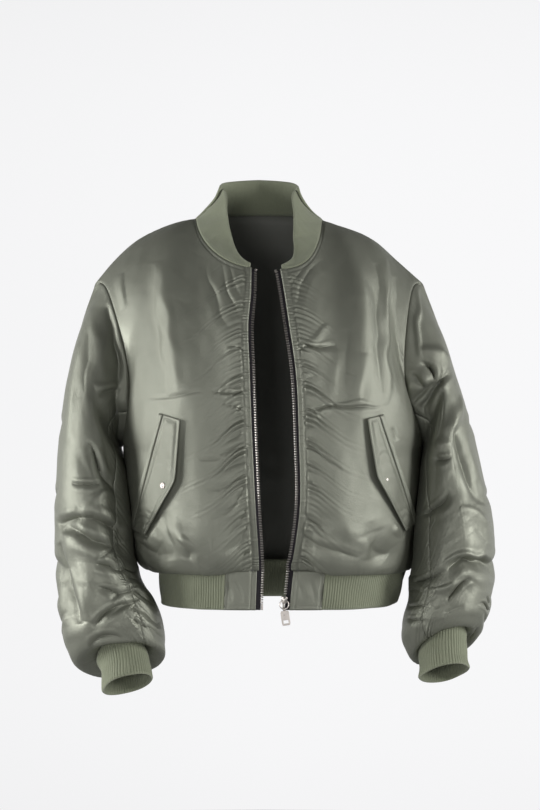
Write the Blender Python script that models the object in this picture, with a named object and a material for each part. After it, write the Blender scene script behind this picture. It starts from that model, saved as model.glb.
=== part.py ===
"""Bomber jacket, worn open: satin panels, rib-knit bands and a metal front zip.

Metres, +Z up. The front faces -Y and the wearer's left is +X. The origin is on the wearer's neck
axis, level with the back neck seam. Every cloth piece is a closed wall of its real thickness
round a middle surface. Tables with named columns give the sizes, and functions work out the
surfaces. A share runs from 0 to 1.
"""
import math

import bmesh
import bpy
import numpy as np
from mathutils import Matrix, Vector

# --- walls and gaps ---------------------------------------------------------------------------
GAP = 0.0003              # between pieces that touch
SATIN = 0.0030            # shell, thin padding and lining, quilted as one
DOUBLED = 0.0020          # two layers of shell cloth: flaps, welts and hem tabs
KNIT = 0.0024             # rib knit between its ribs
RIB_HEIGHT = 0.0009       # how far a rib stands over the knit
TAPE = 0.0010             # woven zip tape
SEAM_PINCH = 0.8          # cloth is this much of its thickness at a seam
HALF_GAP = GAP * 0.55     # how far each piece stays back from a seam
SHARPEST = 0.35           # limits that distance where two pieces leave a seam side by side
MITRE_LIMIT = 0.7         # limits the length of a mitre

# --- how the cloth is divided -----------------------------------------------------------------
EDGE_STEP = 0.0163        # width of each column beside the zip
EDGE_COLUMNS = 3          # they are as wide together as a hem tab
NECK_COLUMNS = 7          # front columns that end at the neckline
SHOULDER_COLUMNS = 7      # front and back columns that end at the shoulder seam
BACK_NECK_COLUMNS = 5     # from the side neck to the centre back
BODY_ROWS = (1, 2, 3, 3)  # rows between the body sections
ARMHOLE_ROWS = 10         # rows from the armpit to the shoulder, and half the sleeve's columns
UNDER_COLUMNS = 3         # sleeve columns on each side of the inner arm in the under sleeve
ARMPIT_ROW = sum(BODY_ROWS)
SLEEVE_ROWS = (2, 2, 2, 3, 3, 3, 2, 2, 1, 1)
RIBS_PER_COLUMN = 5       # knit points outside for each column of cloth; every second one stands up


def table(columns, *rows):
    """Rows of numbers as one array for each named column."""
    return {name: np.array(values, float) for name, values in zip(columns.split(), zip(*rows))}


# --- the body, from the hem seam up to the armpit ---------------------------------------------
BODY = table("height right left front back edge_height edge_y",
             (-0.5565, -0.1570, 0.2320, -0.1480, 0.1270, -0.5565, -0.1480),     # hem seam
             (-0.5610, -0.1800, 0.2385, -0.1640, 0.1400, -0.5480, -0.1510),     # fold over the hem band
             (-0.5300, -0.1990, 0.2450, -0.1790, 0.1500, -0.5300, -0.1590),     # blouse
             (-0.4550, -0.2065, 0.2515, -0.1830, 0.1530, -0.4550, -0.1770),     # waist
             (-0.3850, -0.2120, 0.2545, -0.1795, 0.1510, -0.3850, -0.1765))     # armpit
EDGE_FADE = 0.075         # the zip keeps the front flat this far from its edge
BODY_AXIS = (0.02, 0.0)   # x and y inside the body at every height
SIDE_Y = 0.005            # side seams
SQUARENESS = 2.7          # across its width; 2 is an ellipse
DEPTH_SQUARENESS = 2.15   # from its middle to its sides

# front edges beside the zip
OPENING = table("height right left",
                (-0.6170, -0.0045, 0.0470), (-0.5600, -0.0023, 0.0525), (-0.4550, -0.0075, 0.0655),
                (-0.3600, -0.0120, 0.0640), (-0.2500, -0.0160, 0.0585), (-0.1800, -0.0180, 0.0485),
                (-0.1320, -0.0140, 0.0415), (-0.0930, -0.0135, 0.0350))

# shoulder seam, from the neck to the tip
SHOULDER = {-1: table("x height", (-0.0985, -0.0100), (-0.1256, -0.0152), (-0.1620, -0.0284),
                      (-0.1959, -0.0467), (-0.2323, -0.0805), (-0.2580, -0.1115)),
            1: table("x height", (0.0985, -0.0120), (0.1280, -0.0230), (0.1570, -0.0322),
                     (0.1833, -0.0457), (0.2174, -0.0758), (0.2580, -0.1120))}
SHOULDER_Y = 0.006

# neckline: half width, front and back reach, drop at the front; below 1 the front is squarer
NECK_X = 0.0985
NECK_FRONT = 0.1190
NECK_BACK = 0.0760
NECK_DROP = 0.0850
NECK_ROUND = {-1: 1.0, 1: 0.45}
NECK_FALL = 1.15          # above 1 the neckline stays high for longer beside the neck
BACK_NECK_HEIGHT = 0.0

# armholes: armpit point, reach to the front and back, and how far the seam sets in
ARMPIT = {-1: (-0.2125, -0.3640), 1: (0.2555, -0.3640)}
ARMHOLE_DEPTH = 0.0760
ARMHOLE_INSET = 0.0310
ARMHOLE_SET = (1.3, 0.7)  # it sets in early below the tip and late above the armpit
CAP_FULLNESS = 1.30       # how roundly the chest turns over the shoulder
ARMHOLE_PULL = 2.2        # how fast a panel's columns are drawn to the armhole, and to the zip
ZIP_PULL = 3.0

# where each column points as it reaches the top of a panel, across the panel's width
TOP_DIRECTION = table("share to_neck to_middle up",
                      (0.00, 0.05, 0.50, 0.86), (0.25, 0.35, 0.50, 0.79), (0.45, 0.62, 0.66, 0.42),
                      (0.55, 0.45, 0.88, 0.14), (0.70, 0.15, 0.99, 0.00), (1.00, 0.00, 1.00, 0.00))

# --- sleeves: outer and inner points of each section, its middle, half depth and forward tilt ---
SLEEVES = {
    -1: table("x_out z_out x_in z_in y depth tilt",
              (-0.2815, -0.190, -0.2235, -0.380, -0.004, 0.086, 0),
              (-0.2985, -0.260, -0.2060, -0.425, -0.014, 0.093, 0),
              (-0.3092, -0.340, -0.1960, -0.475, -0.026, 0.097, 0),
              (-0.3152, -0.420, -0.1930, -0.530, -0.036, 0.098, 2),
              (-0.3172, -0.500, -0.1850, -0.577, -0.043, 0.097, 6),
              (-0.3135, -0.578, -0.1640, -0.610, -0.048, 0.094, 12),
              (-0.3075, -0.641, -0.1500, -0.646, -0.058, 0.089, 18),
              (-0.2975, -0.682, -0.1475, -0.674, -0.066, 0.082, 24),
              (-0.2770, -0.706, -0.1530, -0.693, -0.070, 0.067, 30),
              (-0.2490, -0.695, -0.1790, -0.679, -0.074, 0.047, 38)),
    1: table("x_out z_out x_in z_in y depth tilt",
             (0.2862, -0.190, 0.2640, -0.380, -0.002, 0.086, 0),
             (0.3083, -0.260, 0.2530, -0.425, -0.014, 0.093, 0),
             (0.3325, -0.340, 0.2420, -0.477, -0.026, 0.097, 0),
             (0.3505, -0.420, 0.2390, -0.532, -0.036, 0.098, 2),
             (0.3652, -0.500, 0.2350, -0.575, -0.043, 0.097, 6),
             (0.3655, -0.568, 0.2340, -0.610, -0.048, 0.092, 12),
             (0.3590, -0.618, 0.2245, -0.644, -0.058, 0.086, 18),
             (0.3485, -0.647, 0.2258, -0.674, -0.066, 0.077, 24),
             (0.3340, -0.662, 0.2401, -0.693, -0.070, 0.063, 30),
             (0.3192, -0.655, 0.2525, -0.677, -0.074, 0.046, 38))}

# a sleeve presses against the body's side: how far they stay apart, and how much more in front
PRESS = 0.0057
PRESS_FORWARD = 0.0110
PRESS_ROLL = 0.0060       # the blouse is fuller than its sections just above its fold
PRESS_FADE = 0.015        # height over which this starts below the armpit and ends below the blouse

# cuff sections from the seam down, in the sleeves' columns
CUFFS = {
    -1: table("x_out z_out x_in z_in y depth tilt",
              (-0.2421, -0.716, -0.1718, -0.697, -0.082, 0.0430, 30),
              (-0.2400, -0.746, -0.1642, -0.725, -0.098, 0.0425, 24)),
    1: table("x_out z_out x_in z_in y depth tilt",
             (0.3192, -0.684, 0.2508, -0.699, -0.082, 0.0430, 30),
             (0.3219, -0.711, 0.2498, -0.725, -0.098, 0.0425, 24))}

# --- hem band: heights and sides at its lower edge --------------------------------------------
HEM_PLAIN = 0.07          # share of the band beside its seam where the ribs flatten
HEM = dict(height=-0.6170, right=-0.1530, left=0.2160, front=-0.1455, back=0.1250)

# --- collar: how far its free edge leans in and stands up, from the front (0) to the back (2) ---
COLLAR = table("share lean stand",
               (0.00, 0.004, 0.007), (0.33, 0.030, 0.026), (0.60, 0.040, 0.043),
               (0.80, 0.046, 0.051), (1.00, 0.041, 0.050), (1.50, 0.029, 0.053), (2.00, 0.018, 0.056))
COLLAR_ROWS = 3
COLLAR_HOLLOW = 0.006      # its middle dips towards the neck

# --- largest folds: soft troughs between two points seen from one side ------------------------
# view, first point and last point (x or y, height), width to each side, depth; below 0 is a ridge
FOLDS = (
    ("front", -0.165, -0.475, -0.150, -0.545, 0.020, 0.011),   # hollow below the right pocket
    ("front", 0.055, -0.450, 0.130, -0.510, 0.018, 0.006),     # left front, falling from the zip
    ("front", 0.170, -0.490, 0.185, -0.545, 0.022, 0.010),     # hollow over the left hem
    ("front", -0.130, -0.110, -0.110, -0.300, 0.022, -0.004),  # drape falling from each shoulder
    ("front", 0.150, -0.110, 0.160, -0.330, 0.022, -0.004),
    ("front", -0.312, -0.492, -0.205, -0.520, 0.018, 0.011),   # right elbow
    ("front", -0.270, -0.372, -0.232, -0.440, 0.018, 0.007),
    ("front", -0.302, -0.545, -0.280, -0.640, 0.020, 0.009),   # right forearm
    ("front", -0.180, -0.600, -0.250, -0.640, 0.017, 0.007),
    ("front", 0.285, -0.240, 0.262, -0.335, 0.018, 0.009),     # left upper arm
    ("front", 0.258, -0.480, 0.305, -0.430, 0.017, 0.008),     # left elbow
    ("front", 0.290, -0.540, 0.362, -0.552, 0.018, 0.010),     # left forearm
    ("front", 0.325, -0.580, 0.275, -0.612, 0.017, 0.007),
    ("back", -0.305, -0.470, -0.225, -0.505, 0.020, 0.009),    # elbows from behind
    ("back", -0.300, -0.590, -0.205, -0.625, 0.020, 0.008),
    ("back", 0.275, -0.500, 0.350, -0.465, 0.020, 0.009),
    ("back", 0.255, -0.615, 0.345, -0.590, 0.020, 0.008),
    ("back", -0.090, -0.140, -0.070, -0.400, 0.030, 0.004),    # drape down the back
    ("back", 0.110, -0.140, 0.100, -0.400, 0.030, 0.004))
FOLD_END = 0.6            # share of its depth at each end of a fold
FOLD_RISE = 3.0           # and how fast it reaches the whole of it
GATHERS = 17              # waves round the blouse, over the hem band
GATHER_DEPTH = 0.0025
GATHER_HEIGHT = -0.528    # where they are deepest
GATHER_REACH = 0.026      # how far up and down they fade
GATHER_UNEVEN = 0.3       # five times round they are this much shallower

# --- pockets: corners of the flaps as x and height, on the fronts -----------------------------
FLAP = {-1: dict(top=(-0.1420, -0.3195), bottom=(-0.1910, -0.4975), free_top=(-0.1165, -0.3270),
                 point=(-0.1225, -0.4200), free_bottom=(-0.1700, -0.5050)),
        1: dict(top=(0.1800, -0.3210), bottom=(0.2370, -0.4900), free_top=(0.1620, -0.3250),
                point=(0.1750, -0.4150), free_bottom=(0.2210, -0.4980))}
FLAP_ROWS = 12
FLAP_POINT_ROW = 6
FLAP_CLEAR = 0.0018       # room under the flap and the welt
FLAP_LIFT = 0.0060        # its free edge stands off the front, most in the middle of its length
FLAP_ENDS = 0.35          # share of that lift at its ends
FLAP_ACROSS = (0.0, 0.3, 0.65, 1.0)
WELT = 0.0065             # its width
WELT_APART = 0.0004       # from the flap's sewn edge
WELT_SLOPE = (0.96, 0.28) # its direction from that edge, outwards and up
SNAP = {-1: (0.56, 0.70), 1: (0.54, 0.66)}   # along the flap and across it
SNAP_RADIUS = 0.0050
SNAP_HEIGHT = 0.0022
SNAP_PROFILE = table("radius rise", (1.00, 0.0), (1.00, 0.35), (0.85, 0.72), (0.50, 0.95))
SNAP_SIDES = 12

# --- zip --------------------------------------------------------------------------------------
TAPE_SHOWS = 0.0076       # tape beyond the cloth's edge
TAPE_UNDER = 0.0070       # tape behind the cloth
TAPE_BEHIND = 0.0010      # room between them for the cloth's mitres
TOOTH_ROW = (0.0032, 0.0026)
STOP = (0.0036, 0.0034, 0.0040)
ZIP_TOP = -0.0985         # height of the top stops
ZIP_FOOT = 0.0100         # pin and box, from the end of the teeth to the hem's edge
PIN = (0.0030, 0.0026)
BOX = (0.0032, 0.0034)
SLIDER_SIZE = (0.0096, 0.0074, 0.0110)
SLIDER_PLATE = 0.0020
SLIDER_POST = 0.0022
BRIDGE = dict(length=0.0088, bar=0.0014, width=0.0026, hole=0.0031, sunk=0.0008)
RING_RADIUS = 0.0068
RING_WIRE = 0.0009
RING_SIDES = 20
WIRE_SIDES = 6
EYE = dict(hole=0.0022, wall=0.0009, width=0.0040, sunk=0.0004)
EYE_SIDES = 14
TAB = dict(width=0.0130, length=0.0250, thickness=0.0016, window_width=0.0076, window_height=0.0050,
           foot=0.0030, lean=8.0)

CREASE = 50                # edges sharper than this many degrees show
COLOURS = {                # colour, roughness, metallic
    "satin": ((0.125, 0.130, 0.105, 1), 0.38, 0.0),
    "knit": ((0.150, 0.165, 0.105, 1), 0.85, 0.0),
    "tape": ((0.020, 0.020, 0.022, 1), 0.80, 0.0),
    "metal": ((0.62, 0.60, 0.57, 1), 0.25, 1.0)}


# --- curves and grids -------------------------------------------------------------------------
def smooth(knots, values, at):
    """Cubic curve through values at the knots, with each knot's slope from its neighbours."""
    knots, values, at = (np.asarray(part, float) for part in (knots, values, at))
    if knots[0] > knots[-1]:
        knots, values = knots[::-1], values[::-1]
    slopes = np.gradient(values, knots, axis=0)
    at = np.clip(at, knots[0], knots[-1])
    low = np.clip(np.searchsorted(knots, at, side="right") - 1, 0, len(knots) - 2)
    step = knots[low + 1] - knots[low]
    t = (at - knots[low]) / step
    extra = (1,) * (values.ndim - 1)
    t, step = t.reshape(t.shape + extra), step.reshape(step.shape + extra)
    return ((2 * t**3 - 3 * t**2 + 1) * values[low] + (t**3 - 2 * t**2 + t) * step * slopes[low]
            + (3 * t**2 - 2 * t**3) * values[low + 1] + (t**3 - t**2) * step * slopes[low + 1])


def unit(vectors):
    """Vectors at length 1."""
    return vectors / np.maximum(np.linalg.norm(vectors, axis=-1, keepdims=True), 1e-12)


def lengths(points):
    """Distance along a line of points, from its first."""
    return np.concatenate([[0.0], np.cumsum(np.linalg.norm(np.diff(points, axis=0), axis=1))])


def along(points, stations):
    """Points of a line at the given distances from its start."""
    run = lengths(points)
    return np.stack([np.interp(stations, run, points[:, axis]) for axis in range(3)], axis=1)


def even(points, cells):
    """A line divided into equal lengths."""
    return along(points, np.linspace(0, lengths(points)[-1], cells + 1))


def subdivide(counts):
    """Row places between table rows, as fractional row numbers."""
    inner = [low + step / count for low, count in enumerate(counts) for step in range(count)]
    return np.array(inner + [len(counts)])


# --- body form --------------------------------------------------------------------------------
def body_sections(rows):
    """Sizes of the body at fractional rows of its table."""
    places = np.arange(len(BODY["height"]))
    return {name: smooth(places, column, rows) for name, column in BODY.items()}


def quarter(middle_x, side_x, middle_y, height, fine=160):
    """Quarter of a rounded oblong, from the body's middle to its side seam.

    x grows with sin(angle) and y falls with cos(angle), each to the power 2 / squareness.
    """
    angle = np.linspace(0, math.pi / 2, fine)
    x = middle_x + (side_x - middle_x) * np.sin(angle) ** (2 / SQUARENESS)
    y = SIDE_Y + (middle_y - SIDE_Y) * np.cos(angle) ** (2 / DEPTH_SQUARENESS)
    return np.stack([x, y, np.full(fine, height)], axis=1)


def front_columns(line):
    """Narrow columns beside the zip, then even ones to the side seam."""
    end = lengths(line)[-1]
    edge = EDGE_STEP * np.arange(EDGE_COLUMNS)
    rest = NECK_COLUMNS + SHOULDER_COLUMNS - EDGE_COLUMNS
    return along(line, np.concatenate([edge, np.linspace(EDGE_COLUMNS * EDGE_STEP, end, rest + 1)]))


def side_name(side):
    """Table column of a side: -1 is the wearer's right."""
    return "right" if side < 0 else "left"


def opening_x(side, heights):
    """Front edge beside the zip."""
    return smooth(OPENING["height"], OPENING[side_name(side)], heights)


def neck_front(side, cells):
    """Neckline from the front edge to the side neck: a quarter ellipse that drops to the front."""
    angle = np.linspace(0, math.pi / 2, 200)
    x = side * NECK_X * np.cos(angle) ** NECK_ROUND[side]
    y = SHOULDER_Y - (NECK_FRONT + SHOULDER_Y) * np.sin(angle)
    z = SHOULDER[side]["height"][0] - NECK_DROP * np.sin(angle) ** NECK_FALL
    edge = OPENING[side_name(side)][-1]
    last = np.argmax(side * x < side * edge) if side * edge > 0 else len(x) - 1
    line = np.stack([x, y, z], axis=1)[:last + 1]
    line[-1, 0] = edge
    return even(line[::-1], cells)


def neck_back(side, cells):
    """Neckline from the side neck to the centre back, rising a little."""
    angle = np.linspace(0, math.pi / 2, 100)
    x = side * NECK_X * np.cos(angle)
    y = SHOULDER_Y + (NECK_BACK - SHOULDER_Y) * np.sin(angle)
    z = SHOULDER[side]["height"][0] + (BACK_NECK_HEIGHT - SHOULDER[side]["height"][0]) * np.sin(angle)
    return even(np.stack([x, y, z], axis=1), cells)


def shoulder_seam(side, cells):
    """Shoulder seam from the neck to the tip."""
    seam = SHOULDER[side]
    x = np.linspace(seam["x"][0], seam["x"][-1], 100)
    z = smooth(seam["x"], seam["height"], x)
    return even(np.stack([x, np.full(100, SHOULDER_Y), z], axis=1), cells)


def armhole(side, angles):
    """Armhole loop: the tip at angle 0, the front at a quarter turn, the armpit at a half turn."""
    tip = np.array([SHOULDER[side]["x"][-1], SHOULDER_Y, SHOULDER[side]["height"][-1]])
    pit = np.array([ARMPIT[side][0], SIDE_Y, ARMPIT[side][1]])
    loop = (tip + pit) / 2 + np.cos(angles)[:, None] * (tip - pit) / 2
    across = np.sin(angles)
    loop[:, 0] -= side * ARMHOLE_INSET * np.abs(across) ** (ARMHOLE_SET[0] - ARMHOLE_SET[1] * np.cos(angles))
    loop[:, 1] -= ARMHOLE_DEPTH * across
    return loop


def cap(below, low, top, direction, armhole_edge, other_edge=None):
    """Upper part of a panel: each column turns over the chest to the top of the panel.

    A cubic runs from the armpit row to the top, and the outer columns are drawn to the armhole.
    """
    rise = np.abs(top - low)
    start = unit(low - below) * CAP_FULLNESS * rise[:, 2:]
    end = direction * CAP_FULLNESS * (rise * np.abs(direction)).sum(axis=1, keepdims=True)
    v = np.linspace(0, 1, ARMHOLE_ROWS + 1)[:, None, None]
    rows = ((2 * v**3 - 3 * v**2 + 1) * low + (v**3 - 2 * v**2 + v) * start
            + (3 * v**2 - 2 * v**3) * top + (v**3 - v**2) * end)
    share = np.linspace(0, 1, low.shape[0])[None, :, None]
    rows = rows + (armhole_edge - rows[:, -1])[:, None] * share**ARMHOLE_PULL
    if other_edge is not None:
        shift = other_edge(rows[:, 0, 2]) - rows[:, 0, 0]
        rows[..., 0] += shift[:, None] * (1 - share[..., 0]) ** ZIP_PULL
    return rows[1:]


def top_direction(side, face, cells):
    """Unit direction of each column at the top of a panel; face is -1 in front and 1 behind."""
    share = np.linspace(0, 1, cells + 1)
    parts = [smooth(TOP_DIRECTION["share"], TOP_DIRECTION[name], share)
             for name in ("to_neck", "to_middle", "up")]
    return unit(np.stack([-side * parts[0], -face * parts[1], parts[2]], axis=1))


def front_panel(side):
    """Middle surface of one front: rows from the hem seam up, columns from the zip to the side."""
    sizes = body_sections(subdivide(BODY_ROWS))
    edge = opening_x(side, sizes["height"])
    rows = [front_columns(quarter(edge[row], sizes[side_name(side)][row], sizes["front"][row], height))
            for row, height in enumerate(sizes["height"])]
    lower = np.stack(rows)
    station = np.stack([lengths(row) for row in lower])
    t = np.clip(station / EDGE_FADE, 0, 1)
    flat = 1 - t * t * (3 - 2 * t)
    lower[..., 1] += flat * (sizes["edge_y"] - sizes["front"])[:, None]
    lower[..., 2] += flat * (sizes["edge_height"] - sizes["height"])[:, None]
    neck = neck_front(side, NECK_COLUMNS)
    top = np.concatenate([neck, shoulder_seam(side, SHOULDER_COLUMNS)[1:]])
    angles = np.linspace(math.pi, 0, ARMHOLE_ROWS + 1)
    upper = cap(lower[-2], lower[-1], top, top_direction(side, -1, NECK_COLUMNS + SHOULDER_COLUMNS),
                armhole(side, angles), lambda heights: opening_x(side, heights))
    return np.concatenate([lower, upper])


def back_panel():
    """Middle surface of the back: columns from the right side seam round to the left."""
    sizes = body_sections(subdivide(BODY_ROWS))
    middle = (sizes["right"] + sizes["left"]) / 2
    cells = BACK_NECK_COLUMNS + SHOULDER_COLUMNS
    angles = np.linspace(math.pi, 2 * math.pi, ARMHOLE_ROWS + 1)
    halves = {}
    for side in (-1, 1):
        rows = [even(quarter(middle[row], sizes[side_name(side)][row], sizes["back"][row], height), cells)
                for row, height in enumerate(sizes["height"])]
        lower = np.stack(rows)
        top = np.concatenate([neck_back(side, BACK_NECK_COLUMNS)[::-1],
                              shoulder_seam(side, SHOULDER_COLUMNS)[1:]])
        upper = cap(lower[-2], lower[-1], top, top_direction(side, 1, cells), armhole(side, angles))
        halves[side] = np.concatenate([lower, upper])
    return np.concatenate([halves[-1][:, ::-1], halves[1][:, 1:]], axis=1)


# --- sleeves and cuffs ------------------------------------------------------------------------
def rings(sizes, angles):
    """Rings of a sleeve or cuff: an ellipse between the outer and the inner point of each section."""
    outer = np.stack([sizes["x_out"], sizes["y"], sizes["z_out"]], axis=1)[:, None]
    inner = np.stack([sizes["x_in"], sizes["y"], sizes["z_in"]], axis=1)[:, None]
    tilt = np.radians(sizes["tilt"])
    forward = np.stack([0 * tilt, -np.cos(tilt), np.sin(tilt)], axis=1) * sizes["depth"][:, None]
    return ((outer + inner) / 2 + np.cos(angles)[None, :, None] * (outer - inner) / 2
            + np.sin(angles)[None, :, None] * forward[:, None])


def pressed(points, side):
    """Sleeve points kept outside the body's side, from the armpit down to the blouse."""
    height, y = points[..., 2], points[..., 1]
    sizes = {name: np.interp(height + PRESS_ROLL, BODY["height"][1:], column[1:]) for name, column in BODY.items()}
    reach = np.where(y < SIDE_Y, sizes["front"], sizes["back"]) - SIDE_Y
    share = np.clip((y - SIDE_Y) / reach, 0, 1)
    width = (1 - share**DEPTH_SQUARENESS) ** (1 / SQUARENESS)
    limit = side * (BODY_AXIS[0] + (sizes[side_name(side)] - BODY_AXIS[0]) * width)
    limit += PRESS + PRESS_FORWARD * share
    fade = np.clip(np.minimum(ARMPIT[side][1] - height, height - BODY["height"][1] + PRESS_FADE) / PRESS_FADE, 0, 1)
    x = side * points[..., 0]
    moved = points.copy()
    moved[..., 0] = side * (x + fade * np.maximum(limit - x, 0))
    return moved


def sleeve_tube(side):
    """Middle surface of a whole sleeve: rows from the armhole down, columns from the outer arm forward."""
    angles = np.linspace(0, 2 * math.pi, 2 * ARMHOLE_ROWS + 1)
    loops = np.concatenate([armhole(side, angles)[None], rings(SLEEVES[side], angles)])
    places = lengths(loops.mean(axis=1))
    wanted = np.interp(subdivide(SLEEVE_ROWS), np.arange(len(places)), places)
    return pressed(smooth(places, loops, wanted), side)


def cuff_tube(side, seam):
    """Middle surface of a cuff, from the sleeve's last ring to its free rim."""
    angles = np.linspace(0, 2 * math.pi, 2 * ARMHOLE_ROWS + 1)
    return np.concatenate([seam[None], rings(CUFFS[side], angles)])


# --- folds ------------------------------------------------------------------------------------
VIEWS = {"front": (0, (0, -1, 0)), "back": (0, (0, 1, 0)), "right": (1, (-1, 0, 0)), "left": (1, (1, 0, 0))}


def fold(points, outward):
    """Troughs and ridges of the fold table, along the outward normals.

    The depth falls off as a bell across the fold's line and fades towards each end. A fold shows
    only on cloth that faces its view.
    """
    shift = np.zeros(points.shape[:-1])
    for view, a0, z0, a1, z1, width, depth in FOLDS:
        axis, facing = VIEWS[view]
        seen = np.stack([points[..., axis], points[..., 2]], axis=-1)
        start, run = np.array([a0, z0]), np.array([a1 - a0, z1 - z0])
        share = ((seen - start) @ run) / (run @ run)
        nearest = start + np.clip(share, 0, 1)[..., None] * run
        away = np.linalg.norm(seen - nearest, axis=-1)
        ends = np.clip(np.minimum(share, 1 - share) * FOLD_RISE + FOLD_END, 0, 1)
        shown = np.clip((outward @ np.array(facing)) * 2, 0, 1)
        shift -= depth * np.exp(-((away / width) ** 2)) * ends * shown
    return points + outward * shift[..., None]


def gather(points, outward):
    """Soft waves in the blouse over the hem band, along the outward normals."""
    turn = np.arctan2(points[..., 0] - BODY_AXIS[0], BODY_AXIS[1] - points[..., 1])
    near = np.exp(-(((points[..., 2] - GATHER_HEIGHT) / GATHER_REACH) ** 2))
    wave = np.cos(turn * GATHERS) * (1 - GATHER_UNEVEN + GATHER_UNEVEN * np.cos(turn * 5))
    return points + outward * (GATHER_DEPTH * near * wave)[..., None]


# --- sheets and the seams between them --------------------------------------------------------
class Sheet:
    """A middle surface with its outward normals; a closed one joins its first and last columns."""

    def __init__(self, points, closed=False):
        self.points, self.closed = points, closed
        self.find_normals()

    def find_normals(self):
        """Normals from the neighbours of each point, turned away from the sheet's own axis."""
        down = np.gradient(self.points, axis=0)
        if self.closed:
            core = self.points[:, :-1]
            across = np.roll(core, -1, axis=1) - np.roll(core, 1, axis=1)
            across = np.concatenate([across, across[:, :1]], axis=1)
            middle = core.mean(axis=1, keepdims=True)
        else:
            across = np.gradient(self.points, axis=1)
            middle = np.array([*BODY_AXIS, 0]) + self.points * [0, 0, 1]
        self.normals = unit(np.cross(across, down))
        self.normals *= np.sign((self.normals * (self.points - middle)).sum())

    def part(self, columns):
        """The piece of this sheet in some of its columns, with the same normals at its cuts."""
        piece = Sheet(self.points[:, columns])
        piece.normals = self.normals[:, columns].copy()
        return piece

    def finer(self, times):
        """The same faceted surface with more columns."""
        count = self.points.shape[1] - 1
        at = np.linspace(0, count, count * times + 1)
        low = np.minimum(at.astype(int), count - 1)
        t = (at - low)[None, :, None]
        piece = Sheet(self.points[:, low] * (1 - t) + self.points[:, low + 1] * t)
        piece.normals = self.normals[:, low] * (1 - t) + self.normals[:, low + 1] * t
        return piece


def into(sheet, name):
    """An edge of a sheet, and the directions from it into the sheet, square to the edge."""
    edge, inner = {"first row": (np.s_[0], np.s_[1]), "last row": (np.s_[-1], np.s_[-2]),
                   "first column": (np.s_[:, 0], np.s_[:, 1]),
                   "last column": (np.s_[:, -1], np.s_[:, -2])}[name]
    line = sheet.points[edge]
    run = unit(np.gradient(line, axis=0))
    direction = sheet.points[inner] - line
    return edge, unit(direction - (direction * run).sum(axis=1, keepdims=True) * run)


def share_normals(sheets):
    """Gives every seam point one normal, which halves the angle between the sheets that meet there.

    It is the sum of their normals or, where they fold back on each other, of the directions into
    them. It is longer where they meet at an angle, so that the walls keep their thickness. Sheets
    that already share a normal count once.
    """
    places, normals, inwards, homes = [], [], [], []
    for number, sheet in enumerate(sheets):
        on_edge = np.zeros(sheet.points.shape[:2], bool)
        inward = np.zeros_like(sheet.points)
        for name in ("first row", "last row") if sheet.closed else (
                "first row", "last row", "first column", "last column"):
            edge, direction = into(sheet, name)
            on_edge[edge] = True
            inward[edge] += direction
        index = np.argwhere(on_edge)
        places.append(sheet.points[on_edge])
        normals.append(unit(sheet.normals[on_edge]))
        inwards.append(unit(inward[on_edge]))
        homes.append(np.column_stack([np.full(len(index), number), index]))
    places, normals, inwards, homes = (np.concatenate(part) for part in (places, normals, inwards, homes))
    group = np.unique(np.round(places * 1e5).astype(int), axis=0, return_inverse=True)[1].ravel()
    distinct = np.unique(np.column_stack([group, np.round(normals, 4)]), axis=0)
    total, within = np.zeros((2, group.max() + 1, 3))
    np.add.at(total, distinct[:, 0].astype(int), distinct[:, 1:])
    np.add.at(within, group, inwards)
    within *= np.sign((total * within).sum(axis=1, keepdims=True))
    sharp = np.clip(1 - np.linalg.norm(total, axis=1, keepdims=True), 0, 1)
    mean = unit(total + within * sharp)[group]
    agree = np.ones(group.max() + 1)
    np.minimum.at(agree, group, (mean * normals).sum(axis=1))
    pinch = np.where(np.bincount(group) > 1, SEAM_PINCH, 1)
    longer = mean * (pinch / np.clip(agree, MITRE_LIMIT, 1))[group][:, None]
    for (number, row, column), normal in zip(homes, longer):
        sheets[number].normals[row, column] = normal


def set_back(sheet, *edges, room=HALF_GAP):
    """Draws the named edges of a sheet back from their seams.

    Each edge moves within the sheet, and further where its neighbour leaves at a sharp angle.
    """
    moved = sheet.points.copy()
    for name in edges:
        edge, inward = into(sheet, name)
        square = np.linalg.norm(np.cross(inward, unit(sheet.normals[edge])), axis=1, keepdims=True)
        moved[edge] += inward * room / np.clip(square, SHARPEST, 1)
    sheet.points = moved
    return sheet


# --- solids -----------------------------------------------------------------------------------
def solid(name, points, faces, material, flat=False):
    """Mesh object from points and faces, turned to face outwards."""
    mesh = bpy.data.meshes.new(name)
    mesh.from_pydata([tuple(point) for point in points], [], faces)
    work = bmesh.new()
    work.from_mesh(mesh)
    bmesh.ops.recalc_face_normals(work, faces=work.faces)
    if work.calc_volume(signed=True) < 0:
        bmesh.ops.reverse_faces(work, faces=work.faces)
    work.to_mesh(mesh)
    work.free()
    mesh.materials.append(MATERIALS[material])
    if not flat:
        mesh.shade_smooth()
        mesh.set_sharp_from_angle(angle=math.radians(CREASE))
    piece = bpy.data.objects.new(name, mesh)
    bpy.context.scene.collection.objects.link(piece)
    return piece


def grid_faces(index, closed=False):
    """Quads of a grid of point numbers."""
    if closed:
        index = np.concatenate([index, index[:, :1]], axis=1)
    corners = (index[:-1, :-1], index[:-1, 1:], index[1:, 1:], index[1:, :-1])
    return np.stack([corner.ravel() for corner in corners], axis=1).tolist()


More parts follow.
